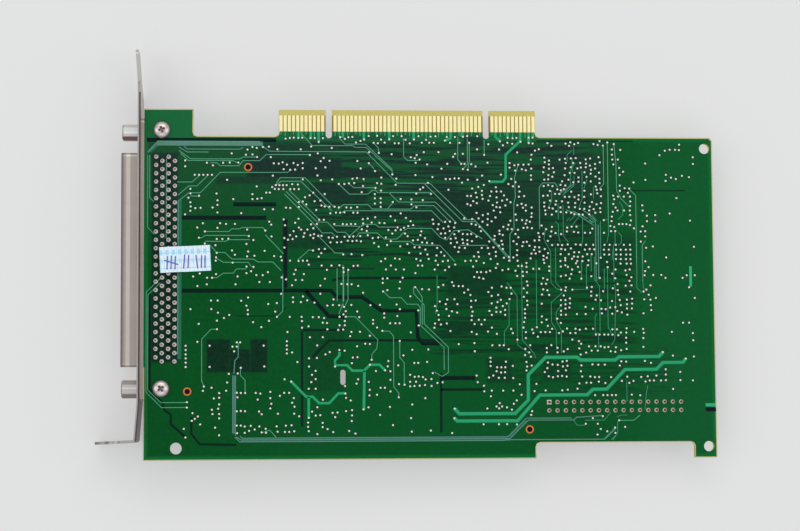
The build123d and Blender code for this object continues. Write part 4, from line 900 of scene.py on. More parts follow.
def board_material():
    """Green mask over the two faces, and bare laminate at the edges and round the fingers."""
    shade = Shade("solder mask")
    x, y, z = shade.parts(shade.place)
    weave = shade.noise(900)
    tone = mask_tone(shade, x, y, weave)
    top = shade.band(z, BOARD_HIGH.z - 0.03 * MM, BOARD_HIGH.z - 0.01 * MM)
    under = shade.band(z, BOARD_LOW.z + 0.03 * MM, BOARD_LOW.z + 0.01 * MM)
    bare = shade.area(FINGERS_FROM, FINGERS_TO, MASK_END, BOARD_WIDTH + 2, 0.05)
    masked = shade.math("MULTIPLY", shade.math("MAXIMUM", top, under), shade.math("SUBTRACT", 1.0, bare))
    between = shade.area(FINGERS_FROM, FINGERS_TO, MASK_END - 1, PLATE_END, 0.05)
    laminate = shade.mix(shade.noise(1500), srgb(182, 168, 88), srgb(208, 194, 118))
    laminate = shade.mix(between, laminate, srgb(150, 118, 52))
    return shade.set(Base_Color=shade.mix(masked, laminate, tone),
                     Roughness=shade.mix(masked, grey(0.7), grey(0.32)),
                     Normal=shade.bump(weave, 0.05, 0.03 * MM), **MASK_SHEEN)


def plain_material(name, colour, roughness, metallic=0.0, speck=0.0, **more):
    """One colour with a slight unevenness in its gloss and, with a speck, in its tone."""
    shade = Shade(name)
    tone, gloss = shade.use(UNEVEN_FINISH, Colour=colour, Darker=darkened(colour, 1 - 0.35 * speck),
                            Least_Roughness=roughness - 0.06)
    return shade.set(Base_Color=tone if speck else colour, Roughness=gloss, Metallic=metallic, **more)


def masked_copper(name, colour, speck=0.3):
    """Copper under the mask."""
    return plain_material(name, colour, 0.4, 0.0, speck, **FAINT_SHEEN)


def masked_gap(name, colour):
    """Mask with no copper behind it."""
    return plain_material(name, colour, 0.32, **MASK_SHEEN)


def rolled_sheet(name, colour, roughness, stretch):
    """Sheet metal under construction, and its tone."""
    shade = Shade(name)
    tone, gloss, marks = shade.use(ROLLED_FINISH, Colour=colour, Darker=darkened(colour, 0.75),
                                   Stretch=stretch, Least_Roughness=roughness - 0.12)
    shade.set(Roughness=gloss, Normal=shade.bump(marks, 0.15, 0.02 * MM))
    return shade, tone


def bracket_material():
    """Nickel-plated sheet; along the cut edge the half towards the card is darkened as painted shade."""
    shade, tone = rolled_sheet("bracket steel", srgb(198, 195, 190), 0.36, (4, 0.25, 4))
    x, y, z = shade.parts(shade.place)
    below = shade.math("MAXIMUM", shade.math("SUBTRACT", spot(0, FOOT_START).y, y), 0.0)
    unleaned = shade.math("ADD", x, shade.math("MULTIPLY", below, math.tan(math.radians(FOOT_LEAN))))
    cut = shade.band(z, BRACKET_HIGH.z - 0.12 * MM, BRACKET_HIGH.z - 0.04 * MM)
    # Painted shade: the half of the cut edge towards the card, in the gap by the connector's flange, is dark.
    inner = shade.band(unleaned, BOARD_LOW.x - 1.5 * MM, BOARD_LOW.x - 1.36 * MM)
    tone = shade.mix(cut, tone, shade.mix(inner, srgb(176, 172, 168), srgb(84, 62, 58)))
    # Painted shade on that half where the foot starts to lean; it is not metallic.
    foot = shade.math("MULTIPLY", inner, shade.band(y, spot(0, 19.5).y, spot(0, 18).y))
    tone = shade.mix(shade.math("MULTIPLY", foot, 0.9), tone, srgb(92, 68, 80))
    tip = shade.band(x, BRACKET_LOW.x + 2.4 * MM, BRACKET_LOW.x + 0.6 * MM)
    tone = shade.mix(shade.math("MULTIPLY", tip, 0.7), tone, srgb(96, 72, 66))
    metal = shade.mix(shade.math("MAXIMUM", foot, tip), grey(0.85), grey(0.1))
    return shade.set(Base_Color=tone, Metallic=metal, **FAINT_SHEEN)


def shell_material():
    """Tinned drawn steel, with a painted highlight across the nose and painted shade on the rolled rim at the
    mouth.
    """
    shade, tone = rolled_sheet("shell steel", srgb(188, 176, 166), 0.4, (0.25, 4, 4))
    x = shade.parts(shade.place)[0]
    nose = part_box("connector_shell")[0].x
    # Painted highlight: a pale band across the nose.
    tone = shade.mix(shade.line_at(x, nose + 2.1 * MM, 0.6 * MM), tone, srgb(206, 198, 188))
    # Painted shade on the rolled rim, darkest at the very edge of the mouth.
    rim = shade.band(x, nose + 1.1 * MM, nose + 0.5 * MM)
    tone = shade.mix(shade.math("MULTIPLY", rim, 0.75), tone, srgb(134, 108, 116))
    mouth = shade.band(x, nose + 0.3 * MM, nose + 0.15 * MM)
    return shade.set(Base_Color=shade.mix(mouth, tone, srgb(80, 60, 68)), Metallic=0.85)


def jackscrew_material(node, shaded_tone, place, thick):
    """Plated post with painted shade along one side and at its rounded tip, and a painted highlight."""
    shade = Shade(f"{node} steel")
    x, y, _ = shade.parts(shade.place)
    low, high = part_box(node)
    middle, half = (low.y + high.y) / 2, (high.y - low.y) / 2
    # Painted shade: the side of the post towards lower y takes the shaded tone, the rest is lit.
    lit_side = shade.band(y, middle - 0.66 * half, middle - 0.46 * half)
    # Painted highlight: a bright line along the post; place and thick are shares of its half width.
    highlight = shade.line_at(y, middle + place * half, thick * half)
    tone = shade.mix(lit_side, shaded_tone, srgb(206, 201, 198))
    tone = shade.mix(highlight, tone, srgb(236, 236, 234))
    # Painted shade at the post's rounded tip.
    tip = shade.band(x, low.x + 0.5 * MM, low.x + 0.25 * MM)
    tone = shade.mix(shade.math("MULTIPLY", tip, 0.6), tone, srgb(90, 80, 80))
    return shade.set(Base_Color=tone, Roughness=0.35, Metallic=0.6)


def grid_lines(shade, across, along):
    """Thin printed lines over the label, 1.25 by 2.3 mm apart."""
    lines = 0.0
    for value, step, shift in ((across, 1.25, 0.0), (along, 2.3, 0.35)):
        phase = shade.math("MULTIPLY", shade.math("ADD", value, shift), math.pi / step)
        wave = shade.math("ABSOLUTE", shade.math("SINE", phase))
        lines = shade.math("MAXIMUM", lines, shade.band(wave, 0.26, 0.06))
    return lines


def printed_blocks(shade, across, along):
    """Two rows of plain blocks, the lower one paler."""
    repeat = shade.math("PINGPONG", shade.math("ADD", across, 50.0), 0.95)
    lower = shade.math("MULTIPLY", shade.line_at(along, -0.5, 0.7), 0.6)
    rows = shade.math("MAXIMUM", shade.line_at(along, 2.15, 0.75), lower)
    return shade.math("MULTIPLY", shade.band(repeat, 0.42, 0.5), rows)


# Tally strokes of a pen on the label, each from its start to its end, in millimetres from the middle.
PEN_STROKES = runs("""
    -5.6,-2.9 -5.3,0.9
    -4.4,-2.8 -4.1,1
    -3.2,-2.9 -2.9,0.8
    -0.6,-2.8 -0.1,1.2
    0.7,-2.7 1.1,1
    -6.2,-0.2 -2.3,-1.6
    3.6,-2.9 3.3,0.9
    4.7,-2.8 5,0.7
    5.8,-2.9 6,0.6
""")


def label_material():
    """Paper with a printed grid and a few pen strokes."""
    shade = Shade("paper label")
    low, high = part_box("paper_label")
    middle = (low + high) / 2
    mapping = shade.add("Mapping", vector_type="TEXTURE")
    shade.feed_all(mapping.inputs, {"Vector": shade.place, "Location": (middle.x, middle.y, 0),
                                    "Rotation": (0, 0, math.radians(3)), "Scale": (MM, MM, MM)})
    on_label = mapping.outputs[0]
    across, along, _ = shade.parts(on_label)
    lines = grid_lines(shade, across, along)
    blocks = printed_blocks(shade, across, along)
    ink = 0.0
    for start, end in PEN_STROKES:
        stroke = shade.use(SOFT_STREAK, Place=on_label, Start=(*start, 0), End=(*end, 0), Half_Width=0.2,
                           Softness=0.12)
        ink = shade.math("MAXIMUM", ink, stroke[0])
    tone = shade.mix(shade.math("MULTIPLY", lines, 0.6), srgb(220, 236, 244), srgb(116, 186, 222))
    tone = shade.mix(shade.math("MULTIPLY", blocks, 0.85), tone, srgb(150, 208, 238))
    tone = shade.mix(shade.math("MULTIPLY", ink, 0.95), tone, srgb(80, 50, 160))
    return shade.set(Base_Color=tone, Roughness=0.6)


def pin_material():
    """Gold plate with a tarnished cut end above the board."""
    shade = Shade("header pins")
    z = shade.parts(shade.place)[2]
    end = shade.band(z, BOARD_HIGH.z + 0.4 * MM, BOARD_HIGH.z + 0.5 * MM)
    tone = shade.mix(end, srgb(240, 214, 130), srgb(92, 52, 46))
    return shade.set(Base_Color=tone, Roughness=0.4, Metallic=0.6)


GOLD = plain_material("gold plate", srgb(255, 242, 178), 0.4, 0.45, 0.1)
SCREW_STEEL = plain_material("screw steel", srgb(206, 194, 190), 0.33, 0.9, 0.2)
CHIP = plain_material("moulding compound", srgb(30, 30, 32), 0.55, 0.0, 0.4)
SLOT_MATERIALS = {
    "board": board_material(),
    "bracket_steel": bracket_material(),
    "shell_steel": shell_material(),
    "black_plastic": plain_material("black plastic", srgb(26, 25, 26), 0.45, 0.0, 0.3),
    "header_plastic": plain_material("header plastic", srgb(34, 33, 34), 0.5, 0.0, 0.3),
    "pin_gold": GOLD,
    "screw_steel": SCREW_STEEL,
    "chip_moulding": CHIP,
    "plated_can": plain_material("tin plate", srgb(208, 206, 200), 0.28, 1.0, 0.15),
    "module_case": plain_material("potted case", srgb(20, 20, 22), 0.4, 0.0, 0.2),
    "tantalum_moulding": plain_material("tantalum moulding", srgb(196, 148, 50), 0.5, 0.0, 0.3),
    "ferrite": plain_material("ferrite", srgb(52, 50, 52), 0.6, 0.0, 0.4),
    "fuse_polymer": plain_material("fuse polymer", srgb(28, 74, 40), 0.5, 0.0, 0.3),
    "ceramic_tan": plain_material("capacitor ceramic", srgb(170, 140, 104), 0.5, 0.0, 0.3),
    "ceramic_black": plain_material("resistor glaze", srgb(24, 24, 26), 0.35, 0.0, 0.2),
    "label_paper": label_material(),
}
PINS = pin_material()
OWN_MATERIALS = {name: PINS for name in NODES if name.startswith(("header_pins", "contact_column"))}
# The jackscrews' painted shade tone, then the place and half width of their painted highlight.
OWN_MATERIALS["jackscrew_upper"] = jackscrew_material("jackscrew_upper", srgb(104, 72, 72), 0.2, 0.4)
OWN_MATERIALS["jackscrew_lower"] = jackscrew_material("jackscrew_lower", srgb(168, 158, 154), 0.1, 0.07)
for part in frame["record"]["subparts"]:
    materials = NODES[part["node"]].data.materials
    for index in range(len(materials)):
        materials[index] = OWN_MATERIALS.get(part["node"], SLOT_MATERIALS[part["material_slot"]])

THIN_COPPER = masked_copper("masked signal runs", srgb(94, 166, 132))
BAND_COPPER = masked_copper("masked bands", srgb(38, 106, 82))
FINE_COPPER = masked_copper("masked fine runs", srgb(66, 156, 116))
GREY_COPPER = masked_copper("masked bundles", srgb(92, 140, 126))
BRIGHT_COPPER = masked_copper("masked power runs", srgb(38, 160, 106), 0.25)
DEEP_GAP = masked_gap("mask over a wide gap", srgb(0, 26, 25))
SHALLOW_GAP = masked_gap("mask over a narrow gap", srgb(1, 36, 26))
FAINT_GAP = masked_gap("mask over a thin gap", srgb(1, 50, 28))
VIA_SOLDER = plain_material("via solder", srgb(226, 226, 216), 0.4, 0.3, 0.2)
SOLDER = plain_material("solder", srgb(250, 240, 236), 0.36, 0.2, 0.15)
TAIL_END = plain_material("cut tail end", srgb(140, 92, 98), 0.5, 0.3, 0.4)
HEADER_SOLDER = plain_material("header solder", srgb(224, 214, 206), 0.4, 0.35, 0.2)
LAMINATE = plain_material("bare laminate", srgb(206, 192, 128), 0.6, 0.0, 0.2)
BARE_COPPER = plain_material("bare copper", srgb(222, 122, 56), 0.4, 0.5, 0.2)
RING_CENTRE = plain_material("ring centre", srgb(12, 12, 26), 0.5, **FAINT_SHEEN)
LIGHT_MARK = plain_material("light mark", srgb(44, 168, 112), 0.4, **FAINT_SHEEN)
# Dark rings round the vias and tails: the inner-plane clearance under the mask, and painted shadow.
LAND_CLEARANCE_AND_SHADOW = plain_material("shaded land", srgb(4, 34, 22), 0.6, **FAINT_SHEEN)
COLUMN_SHADE = plain_material("column shade", srgb(4, 14, 12), 0.6, **FAINT_SHEEN)
BLACK_MARK = plain_material("black mark", srgb(6, 10, 26), 0.5, **FAINT_SHEEN)
# Painted shade in the screws' cross recesses: darker and less metallic than the heads.
RECESS_SHADE_STEEL = plain_material("recess shade steel", srgb(150, 132, 128), 0.5, 0.4)
LEAD_TIN = plain_material("lead tin", srgb(186, 186, 182), 0.36, 0.9, 0.12)
PRINT_WHITE = plain_material("printed outline", srgb(216, 220, 210), 0.6, 0.0, 0.1)
TANTALUM_BAR = plain_material("polarity bar", srgb(120, 70, 24), 0.45)
ENAMELLED_WIRE = plain_material("enamelled wire", srgb(178, 84, 40), 0.3, 0.6, 0.1)


# ---------------------------------------------------------------- solder side

FINGER_PITCH, FIRST_FINGER, FINGER_PLACES = 1.27, 41.515, 62
FINGER_WIDTH, FINGER_THICKNESS = 0.96, 0.035
KEYED = (12, 13, 50, 51)                                  # the places that the two voltage keys take up
TARGETS = places("31.5,88.9 13.2,20.7 117,8.8")           # alignment targets
HEADER_COLUMNS, HALF_PIN = 17, 0.32
TAIL_ROWS = 25


def spread(first, last, count):
    return [first + (last - first) * step / (count - 1) for step in range(count)]


def tail_columns():
    """Places of the connector's tails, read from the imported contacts."""
    found = []
    for column in range(4):
        points = [(vert.co - spot(0)) / MM for vert in NODES[f"contact_column_{column + 1}"].data.vertices]
        top = max(point.z for point in points)
        tails = [point for point in points if point.z > top - 0.01]
        left, right = min(point.x for point in tails), max(point.x for point in tails)
        low, high = min(point.y for point in tails), max(point.y for point in tails)
        half = (right - left) / 2
        x = sum(point.x for point in tails) / len(tails)
        found += [(x, y) for y in spread(low + half, high - half, TAIL_ROWS)]
    return found


def header_places(row):
    """Places of one row of the header's pins."""
    low, high = [(corner - spot(0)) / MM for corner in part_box(row)]
    return [(x, high.y - HALF_PIN) for x in spread(low.x + HALF_PIN, high.x - HALF_PIN, HEADER_COLUMNS)]


def disc(radius, height, steps, hole=0.0):
    """Low disc or ring that sits on the board, just sunk into it."""
    return as_pattern(turned([(hole, height), (radius, height), (radius, -0.01), (hole, -0.01)]
                             + [(hole, height)] * bool(hole), steps))


def stamped(name, pattern, matrices, material, smooth=None):
    bm = bmesh.new()
    stamp(bm, pattern, matrices)
    finish_piece(name, bm, material, smooth=smooth)


def open_below(place):
    """True where no part stands on the component side."""
    x, y = place
    return not any(left < x < right and near < y < far for (left, right), (near, far), _ in COVERED)


def vias():
    """Solder domes on the vias, ringed dark for the clearance and painted shadow; painted shadow round the
    tails.
    """
    radius, height = 0.35, 0.13
    dome = as_pattern(turned([(0, height), (radius * 0.6, height * 0.85), (radius * 0.92, height * 0.35),
                              (radius, -0.02), (0, -0.02)], 8))
    stamped("vias_solder_side", dome, at_places(VIAS), VIA_SOLDER, smooth=60)
    uncovered = [place for place in VIAS if open_below(place)]
    stamped("vias_component_side", dome, under_places(uncovered), VIA_SOLDER, smooth=60)
    bm = bmesh.new()
    # Dark rings round the vias: the inner-plane clearance under the mask, with painted shadow.
    stamp(bm, disc(0.52, 0.015, 8), at_places(VIAS))
    # Painted shadow round the tails' joints, set off to one side.
    stamp(bm, disc(0.98, 0.015, 12), at_places([(x - 0.12, y) for x, y in TAILS]))
    finish_piece("shaded_lands", bm, LAND_CLEARANCE_AND_SHADOW)


def connector_joints():
    """Solder drawn up round each tail, with the tail's cut end showing."""
    cone = turned([(0, 0.84), (0.3, 0.82), (0.44, 0.62), (0.55, 0.32), (0.66, 0.08), (0.68, -0.02),
                   (0, -0.02)], 14)
    stamped("connector_joints", as_pattern(cone), at_places(TAILS), SOLDER, smooth=50)
    end = turned([(0, 0.98), (0.26, 0.95), (0.31, 0.86), (0.31, 0.4), (0, 0.4)], 8)
    bent = [(x - 0.08, y) for x, y in TAILS]
    stamped("connector_tail_ends", as_pattern(end), at_places(bent), TAIL_END, 50)


def header_joints():
    """Flatter joints: a ring of solder round a recessed centre, and a square land at the first pin."""
    radius = 0.68
    ring = turned([(0, 0.2), (0.4, 0.2), (0.46, 0.34), (0.56, 0.26), (0.66, 0.06), (radius, -0.02),
                   (0, -0.02)], 14)
    joints = [place for row in ("header_pins_inner", "header_pins_outer") for place in header_places(row)]
    x, y = min(joints, key=lambda place: (place[0], -place[1]))
    bm = bmesh.new()
    stamp(bm, as_pattern(ring), at_places(joints))
    cuboid(bm, ON_BOARD, (x - radius, x + radius), (y - radius, y + radius), (-0.02, 0.09), 0.04)
    finish_piece("header_joints", bm, HEADER_SOLDER, smooth=50)


def fingers():
    """Plated contact fingers on both faces, left out where the keys are, and the runs that leave them."""
    half = FINGER_WIDTH / 2
    centres = {number: FIRST_FINGER + number * FINGER_PITCH for number in range(FINGER_PLACES)
               if number + 1 not in KEYED}
    for name, base in (("fingers_solder_side", -0.01),
                       ("fingers_component_side", -BOARD_THICKNESS - FINGER_THICKNESS + 0.01)):
        bm = bmesh.new()
        for x in centres.values():
            cuboid(bm, ON_BOARD, (x - half, x + half), (MASK_END, PLATE_END), (base, base + FINGER_THICKNESS))
        finish_piece(name, bm, GOLD)
    stubs = [[(x, MASK_END + 0.05), (x, MASK_END - 0.9 - 0.4 * (number * 7 % 3))]
             for number, x in centres.items() if number % 5 != 2]
    ribbons("finger_stubs", stubs, 0.3, 0.05, FINE_COPPER)


def alignment_targets():
    centre, rim = 0.84, 1.24
    stamped("target_rings", disc(rim, 0.04, 32, hole=centre), at_places(TARGETS), BARE_COPPER)
    stamped("target_centres", disc(centre, 0.02, 32), at_places(TARGETS), RING_CENTRE)


def cross_cutter(turn, height):
    """Two crossed blades that narrow as they go down."""
    cutter = bmesh.new()
    for angle in (turn, turn + 90):
        blade = bmesh.ops.create_cube(cutter, size=1)["verts"]
        for vert in blade:
            length, width, z = (2.7, 0.8, height + 0.4) if vert.co.z > 0 else (1.1, 0.45, height - 1.0)
            vert.co = Vector((vert.co.x * length, vert.co.y * width, z)) * MM
        bmesh.ops.rotate(cutter, verts=blade, matrix=Matrix.Rotation(math.radians(angle), 3, "Z"))
    return as_pattern(cutter)


def pan_screw(name, node, turn):
    """Pan-head screw with a cross recess, in place of the plain one."""
    low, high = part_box(node)
    middle = (low + high) / 2
    head, length = (high.z - BOARD_HIGH.z) / MM, (BOARD_HIGH.z - low.z) / MM
    body = link_object("screw", as_pattern(turned([
        (0, head), (0.9, head - 0.04), (1.7, head - 0.26), (2.25, head - 0.62), (2.5, head - 1.05),
        (2.6, 0.35), (2.6, 0), (1.4, 0), (1.4, -length), (0, -length)], 40)))
    tool = link_object("tool", cross_cutter(turn, head))
    cut = body.modifiers.new("cross", "BOOLEAN")
    cut.object = tool
    cut.solver = "EXACT"
    cut.use_self = True
    bm = bmesh.new()
    bm.from_mesh(result_mesh(body))
    bpy.data.objects.remove(body)
    bpy.data.objects.remove(tool)
    # Faces inside the cross recess take the second material, painted shade.
    for face in bm.faces:
        centre = face.calc_center_median()
        face.material_index = int(centre.xy.length < 1.5 * MM and 0.5 * MM < centre.z < (head - 0.25) * MM)
    bmesh.ops.translate(bm, verts=bm.verts, vec=(middle.x, middle.y, BOARD_HIGH.z))
    piece = finish_piece(name, bm, SCREW_STEEL, replaces=(node,), smooth=35)
    piece.data.materials.append(RECESS_SHADE_STEEL)


def bare_margin():
    """Strip of bare laminate left between the mask and the routed outline."""
    low, high, inset, shoulder = 0.14, MAIN_EDGE - 0.14, 0.14, BOARD_WIDTH - 1.9
    near_bracket = [(low, BOARD_WIDTH - inset), (14.7, BOARD_WIDTH - inset), (14.7, high + 1.3),
                    (15.1, high + 0.3), (16.1, high), (39.6, high), (40.6, high + 0.3), (40.99, high + 1.3),
                    (40.99, shoulder)]
    far_end = [(119.51, shoulder), (119.51, high + 1.3), (119.9, high + 0.3), (120.9, high),
               (BOARD_LENGTH - 1, high), (BOARD_LENGTH - inset, high - 0.9), (BOARD_LENGTH - inset, low)]
    notch = [(167.91, low), (167.91, 3.6), (167.5, 4.5), (166.5, 4.84), (120.25, 4.84), (119.25, 4.5),
             (118.83, 3.5), (118.83, low), (low, low), (low, 28)]
    ribbons("bare_margin", [near_bracket, far_end + notch], 0.26, 0.03, LAMINATE)


def edge_marks():
    """Plain bars printed by the far edge."""
    bm = bmesh.new()
    cuboid(bm, ON_BOARD, (171.3, 174.4), (15.5, 16.5), (-0.01, 0.03))
    cuboid(bm, ON_BOARD, (166.9, 167.7), (52.4, 58.6), (-0.01, 0.03))
    finish_piece("light_marks", bm, LIGHT_MARK)
    bm = bmesh.new()
    cuboid(bm, ON_BOARD, (171.3, 174.5), (14.0, 15.2), (-0.01, 0.035))
    finish_piece("black_mark", bm, BLACK_MARK)


COMPONENTS = [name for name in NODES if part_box(name)[1].z < BOARD_LOW.z + 0.1 * MM and name != "bracket"]
COVERED = [box for name in COMPONENTS for box in solids(name)]
TAILS = tail_columns()
THIRD_COLUMN = sorted(TAILS)[2 * TAIL_ROWS:3 * TAIL_ROWS]

ribbons("wide_plane_gaps", WIDE_GAPS, 1.2, 0.012, DEEP_GAP)
ribbons("narrow_plane_gaps", NARROW_GAPS, 0.75, 0.01, SHALLOW_GAP)
ribbons("thin_plane_gaps", THIN_GAPS, 0.4, 0.008, FAINT_GAP)
ribbons("power_run_edges", POWER_TRACES, 1.3, 0.03, BAND_COPPER)
ribbons("power_runs", POWER_TRACES, 1.06, 0.06, BRIGHT_COPPER)
ribbons("medium_runs", MEDIUM_TRACES, 0.84, 0.055, BRIGHT_COPPER)
ribbons("bundle_bands", BANDS, 1.25, 0.03, BAND_COPPER)
ribbons("third_column_shade", [[THIRD_COLUMN[0], THIRD_COLUMN[-1]]], 0.95, 0.022, COLUMN_SHADE)
ribbons("bundle_runs", BUS_TRACES, 0.3, 0.05, GREY_COPPER)
ribbons("fine_runs", FINE_TRACES, 0.18, 0.045, FINE_COPPER)
ribbons("signal_runs", SIGNAL_TRACES, 0.22, 0.045, THIN_COPPER)
vias()
connector_joints()
header_joints()
fingers()
alignment_targets()
pan_screw("screw_upper", "board_screw_upper", 20)
pan_screw("screw_lower", "board_screw_lower", 35)
bare_margin()
edge_marks()


# ---------------------------------------------------------------- component side

STANDOFF = 0.15
Package = namedtuple("Package", "length width height leads sides reach pitch thick")
WIDE_28 = Package(17.9, 7.5, 2.35, 14, 2, 1.4, 1.27, 0.42)
WIDE_20 = WIDE_28._replace(length=12.8, leads=10)
WIDE_16 = WIDE_28._replace(length=10.3, leads=8)
NARROW_16 = Package(9.9, 3.9, 1.5, 8, 2, 1.05, 1.27, 0.42)
NARROW_8 = NARROW_16._replace(length=4.9, leads=4)
QUAD = Package(28, 28, 3.4, 40, 4, 1.4, 0.65, 0.3)
CARRIER = Package(16.6, 16.6, 4.2, 11, 4, 0.45, 1.27, 0.65)
PACKAGES = {
    "bus_interface_chip": QUAD, "timing_controller_chip": QUAD, "digital_port_chip": CARRIER,
    "sample_memories": WIDE_28, "bus_buffers": WIDE_20, "analog_to_digital_converter": WIDE_28,
    "digital_to_analog_converters": WIDE_16, "input_multiplexers": WIDE_16,
    "instrumentation_amplifier": WIDE_16, "operational_amplifiers": NARROW_8,
    "calibration_converters": NARROW_16, "voltage_reference": NARROW_8, "settings_memory": NARROW_8,
    "resistor_networks": NARROW_16,
}
# Parts with plated ends, as (length of the cap, how far it stands proud); the tantalum ones have tabs.
CAPPED_PARTS = {
    "chip_capacitors": (0.5, 0.03), "chip_resistors": (0.35, 0.03), "resettable_fuse": (0.8, 0.04),
    "tantalum_capacitors": (0.0, 0.12),
}


def hung(box, turn=0.0):
    """From a part's own frame, with z away from the board, to its place on the component side."""
    (x_low, x_high), (y_low, y_high), _ = box
    middle = spot((x_low + x_high) / 2, (y_low + y_high) / 2, -BOARD_THICKNESS)
    return Matrix.Translation(middle) @ Matrix.Rotation(turn, 4, "Z") @ Matrix.Rotation(math.pi, 4, "X")


def press_dimple(bm, face, centre, radius):
    """Shallow round recess that narrows towards its floor, in a flat top face."""
    turn = Matrix.Translation(centre) @ Matrix.Rotation(math.radians(22.5), 4, "Z")
    rim = edges_of(bmesh.ops.create_circle(bm, segments=8, radius=radius, matrix=turn)["verts"])
    made = bmesh.ops.extrude_edge_only(bm, edges=rim)["geom"]
    floor = [item for item in made if isinstance(item, bmesh.types.BMVert)]
    bmesh.ops.scale(bm, verts=floor, vec=(0.85, 0.85, 1), space=Matrix.Translation(-centre))
    bmesh.ops.translate(bm, verts=floor, vec=(0, 0, -0.1 * MM))
    bmesh.ops.contextual_create(bm, geom=[edge for edge in edges_of(floor) if set(edge.verts) <= set(floor)])
    outline = list(face.edges)
    bmesh.ops.delete(bm, geom=[face], context="FACES_ONLY")
    bmesh.ops.triangle_fill(bm, edges=outline + rim, normal=(0, 0, 1))


def moulding(package):
    """Package body drawn in above and below its parting line, with a dimple by its first lead."""
    bm = bmesh.new()
    top = STANDOFF + package.height
    face = bmesh.ops.create_grid(bm, x_segments=1, y_segments=1, size=1)["verts"][0].link_faces[0]
    for z, inset in ((STANDOFF, 0.14), (STANDOFF + package.height * 0.47, 0),
                     (STANDOFF + package.height * 0.53, 0), (top, 0.16)):
        if z > STANDOFF:
            face = extruded(bm, face)
        x, y = package.length / 2 - inset, package.width / 2 - inset
        for vert in face.verts:
            vert.co = Vector((math.copysign(x, vert.co.x), math.copysign(y, vert.co.y), z)) * MM
    dimple = min(package.width * 0.09, 0.7)
    corner = Vector((dimple * 2 - package.length / 2, dimple * 2 - package.width / 2, top))
    press_dimple(bm, face, corner * MM, dimple * MM)
    return as_pattern(bm)


def lead(package):
    """One formed lead on its pad, leaving the body at y = 0."""
    reach = package.reach
    if package is CARRIER:
        outline = [(-0.3, 2.6), (0.3, 2.6), (0.45, 2.4), (0.45, 0.4), (0.2, 0.02), (-0.4, 0.02),
                   (-0.4, 0.25), (0.1, 0.25), (0.22, 0.5), (0.22, 2.3), (0.1, 2.38), (-0.3, 2.38)]
    else:
        knee, middle = reach - 0.7, STANDOFF + package.height / 2
        outline = [(-0.3, middle + 0.1), (0.2, middle + 0.1), (0.38, middle - 0.1), (knee + 0.1, 0.32),
                   (knee + 0.28, 0.2), (reach, 0.2), (reach, 0), (knee + 0.1, 0), (knee - 0.1, 0.2),
                   (0.18, middle - 0.2), (0.1, middle - 0.1), (-0.3, middle - 0.1)]
    bm = bmesh.new()
    near = bm.faces.new([bm.verts.new((-package.thick / 2 * MM, y * MM, z * MM)) for y, z in outline])
    far = extruded(bm, near)
    bmesh.ops.translate(bm, verts=far.verts, vec=(package.thick * MM, 0, 0))
    wide = package.thick / 2 + 0.07
    cuboid(bm, Matrix(), (-wide, wide), (reach - 0.9, reach + 0.4), (-0.01, 0.06))
    return as_pattern(bm)


def lead_places(box, turn, package):
    """Where each lead leaves its body, side after side."""
    for side in range(package.sides):
        spin = Matrix.Rotation(math.tau * side / package.sides, 4, "Z")
        for step in range(package.leads):
            foot = Vector((package.pitch * (step - (package.leads - 1) / 2), package.width / 2, 0)) * MM
            yield hung(box, turn) @ spin @ Matrix.Translation(foot)


def chips():
    """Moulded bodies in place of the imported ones, with every lead formed separately."""
    leads, escapes, outlines = bmesh.new(), [], []
    chance = random.Random(4)
    for node, package in PACKAGES.items():
        bodies, body, formed = bmesh.new(), moulding(package), lead(package)
        for box in solids(node):
            turn = 0.0 if box[0][1] - box[0][0] >= box[1][1] - box[1][0] - 0.1 else math.pi / 2
            stamp(bodies, body, [hung(box, turn)])
            (left, right), (near, far) = [(low - 0.5, high + 0.5) for low, high in box[:2]]
            outlines.append([(left, near), (right, near), (right, far), (left, far), (left, near)])
            for matrix in lead_places(box, turn, package):
                stamp(leads, formed, [matrix])
                ends = [matrix @ Vector((0, out * MM, 0)) - spot(0)
                        for out in (package.reach, package.reach + 0.9 + chance.choice((0, 0.6, 1.2)))]
                escapes.append([(end.x / MM, end.y / MM) for end in ends])
        finish_piece(f"{node}_bodies", bodies, CHIP, replaces=(node,))
    finish_piece("chip_leads", leads, LEAD_TIN)
    ribbons("escape_runs", escapes, 0.22, 0.05, THIN_COPPER, -BOARD_THICKNESS)
    ribbons("printed_outlines", outlines, 0.16, 0.03, PRINT_WHITE, -BOARD_THICKNESS)


def end_caps():
    """Plated ends, pads and polarity bars of the parts without leads."""
    caps, bars = bmesh.new(), bmesh.new()
    for node, (cap, proud) in CAPPED_PARTS.items():
        for box in solids(node):
            sizes = [high - low for low, high in box]
            long, wide, tall = max(sizes[:2]) / 2, min(sizes[:2]) / 2, sizes[2]
            matrix = hung(box, 0.0 if sizes[0] > sizes[1] else math.pi / 2)
            for side in (-1, 1):
                end = sorted((side * (long - cap), side * (long + proud)))
                if cap:
                    sides = (-wide - proud, wide + proud)
                    cuboid(caps, matrix, end, sides, (0.01, tall + proud), proud * 0.8)
                else:
                    cuboid(caps, matrix, end, (-wide * 0.55, wide * 0.55), (0.01, tall * 0.5))
                pad = sorted((side * (long - 0.4), side * (long + 0.5)))
                cuboid(caps, matrix, pad, (-wide - 0.1, wide + 0.1), (-0.01, 0.05))
            if not cap:
                bar = (-long - 0.02, 0.9 - long)
                cuboid(bars, matrix, bar, (-wide - 0.02, wide + 0.02), (0.1, tall + 0.02))
    finish_piece("end_caps", caps, LEAD_TIN)
    finish_piece("polarity_bars", bars, TANTALUM_BAR)


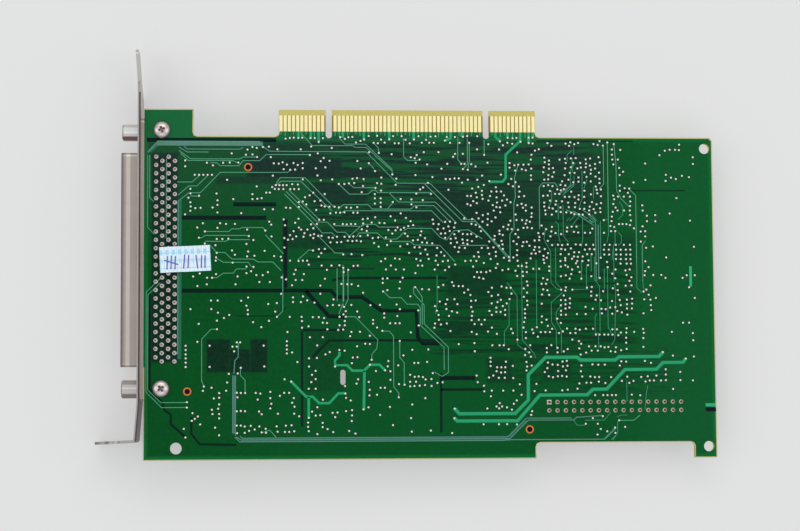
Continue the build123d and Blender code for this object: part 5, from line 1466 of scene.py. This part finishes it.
def winding():
    """Enamelled wire round the inductor's drum."""
    drum, low, high, wire, turns = 3.2, 1.02, 3.62, 0.52, 5
    profile = [(drum, low)]
    for turn in range(turns):
        for step in range(7):
            angle = math.pi * step / 6
            profile.append((drum + 0.12 + 0.24 * math.sin(angle),
                            low + wire * (turn + 0.5) - 0.26 * math.cos(angle)))
    bm = turned(profile + [(drum, high), (drum, low)], 40)
    bmesh.ops.transform(bm, verts=bm.verts, matrix=hung(solids("power_inductor")[0]))
    finish_piece("inductor_winding", bm, ENAMELLED_WIRE, smooth=50)


chips()
end_caps()
winding()


# ---------------------------------------------------------------- stage

def camera_at_card():
    """Long lens high over the near end of the card."""
    data = bpy.data.cameras.new("camera")
    data.sensor_width = 36.0
    data.lens = 93.8
    data.clip_end = 10
    camera = link_object("camera", data)
    lean = Vector((math.radians(4.64), math.radians(-3.84), math.radians(-0.16)))
    camera.rotation_mode = "QUATERNION"
    camera.rotation_quaternion = Quaternion(lean.normalized(), lean.length)
    camera.location = spot(35.1, 7.5, 632.2)
    bpy.context.scene.camera = camera


def soft_light(name, place, size, power, colour=(1, 1, 1)):
    """Rectangular lamp turned to the middle of the card."""
    data = bpy.data.lights.new(name, "AREA")
    data.shape = "RECTANGLE"
    data.size, data.size_y = size
    data.energy = power
    data.color = colour
    light = link_object(name, data)
    light.location = place
    light.rotation_mode = "QUATERNION"
    light.rotation_quaternion = (-Vector(place)).to_track_quat("-Z", "Y")


def pale_floor():
    """Card's resting surface: it touches the bracket's lower edge and the header's far end."""
    rise = (HEADER_LOW.z - BRACKET_LOW.z) / (HEADER_HIGH.x - BRACKET_HIGH.x)
    bm = bmesh.new()
    for vert in bmesh.ops.create_grid(bm, x_segments=1, y_segments=1, size=1.6)["verts"]:
        vert.co.z = BRACKET_LOW.z + rise * (vert.co.x - BRACKET_HIGH.x)
    floor = link_object("floor", as_pattern(bm))
    shade = Shade("pale floor")
    floor.data.materials.append(shade.set(Base_Color=srgb(163, 162, 160), Roughness=0.9,
                                          Emission_Color=srgb(166, 167, 167), Emission_Strength=1.0))


def lights():
    world = bpy.data.worlds.new("world")
    world.use_nodes = True
    background = world.node_tree.nodes["Background"]
    background.inputs["Color"].default_value = (0.93, 0.97, 1.0, 1)
    background.inputs["Strength"].default_value = 0.62
    bpy.context.scene.world = world
    soft_light("far side", (0.0, 0.95, 1.15), (1.4, 0.7), 5.2, (1.0, 0.99, 0.97))
    soft_light("near side", (0.0, -0.95, 1.15), (1.4, 0.7), 2.6)
    soft_light("left side", (-1.05, 0.0, 1.05), (0.7, 1.2), 3.4)
    soft_light("right side", (1.05, 0.0, 1.05), (0.7, 1.2), 3.4)


camera_at_card()
lights()
pale_floor()
bpy.context.scene.view_settings.view_transform = "Standard"
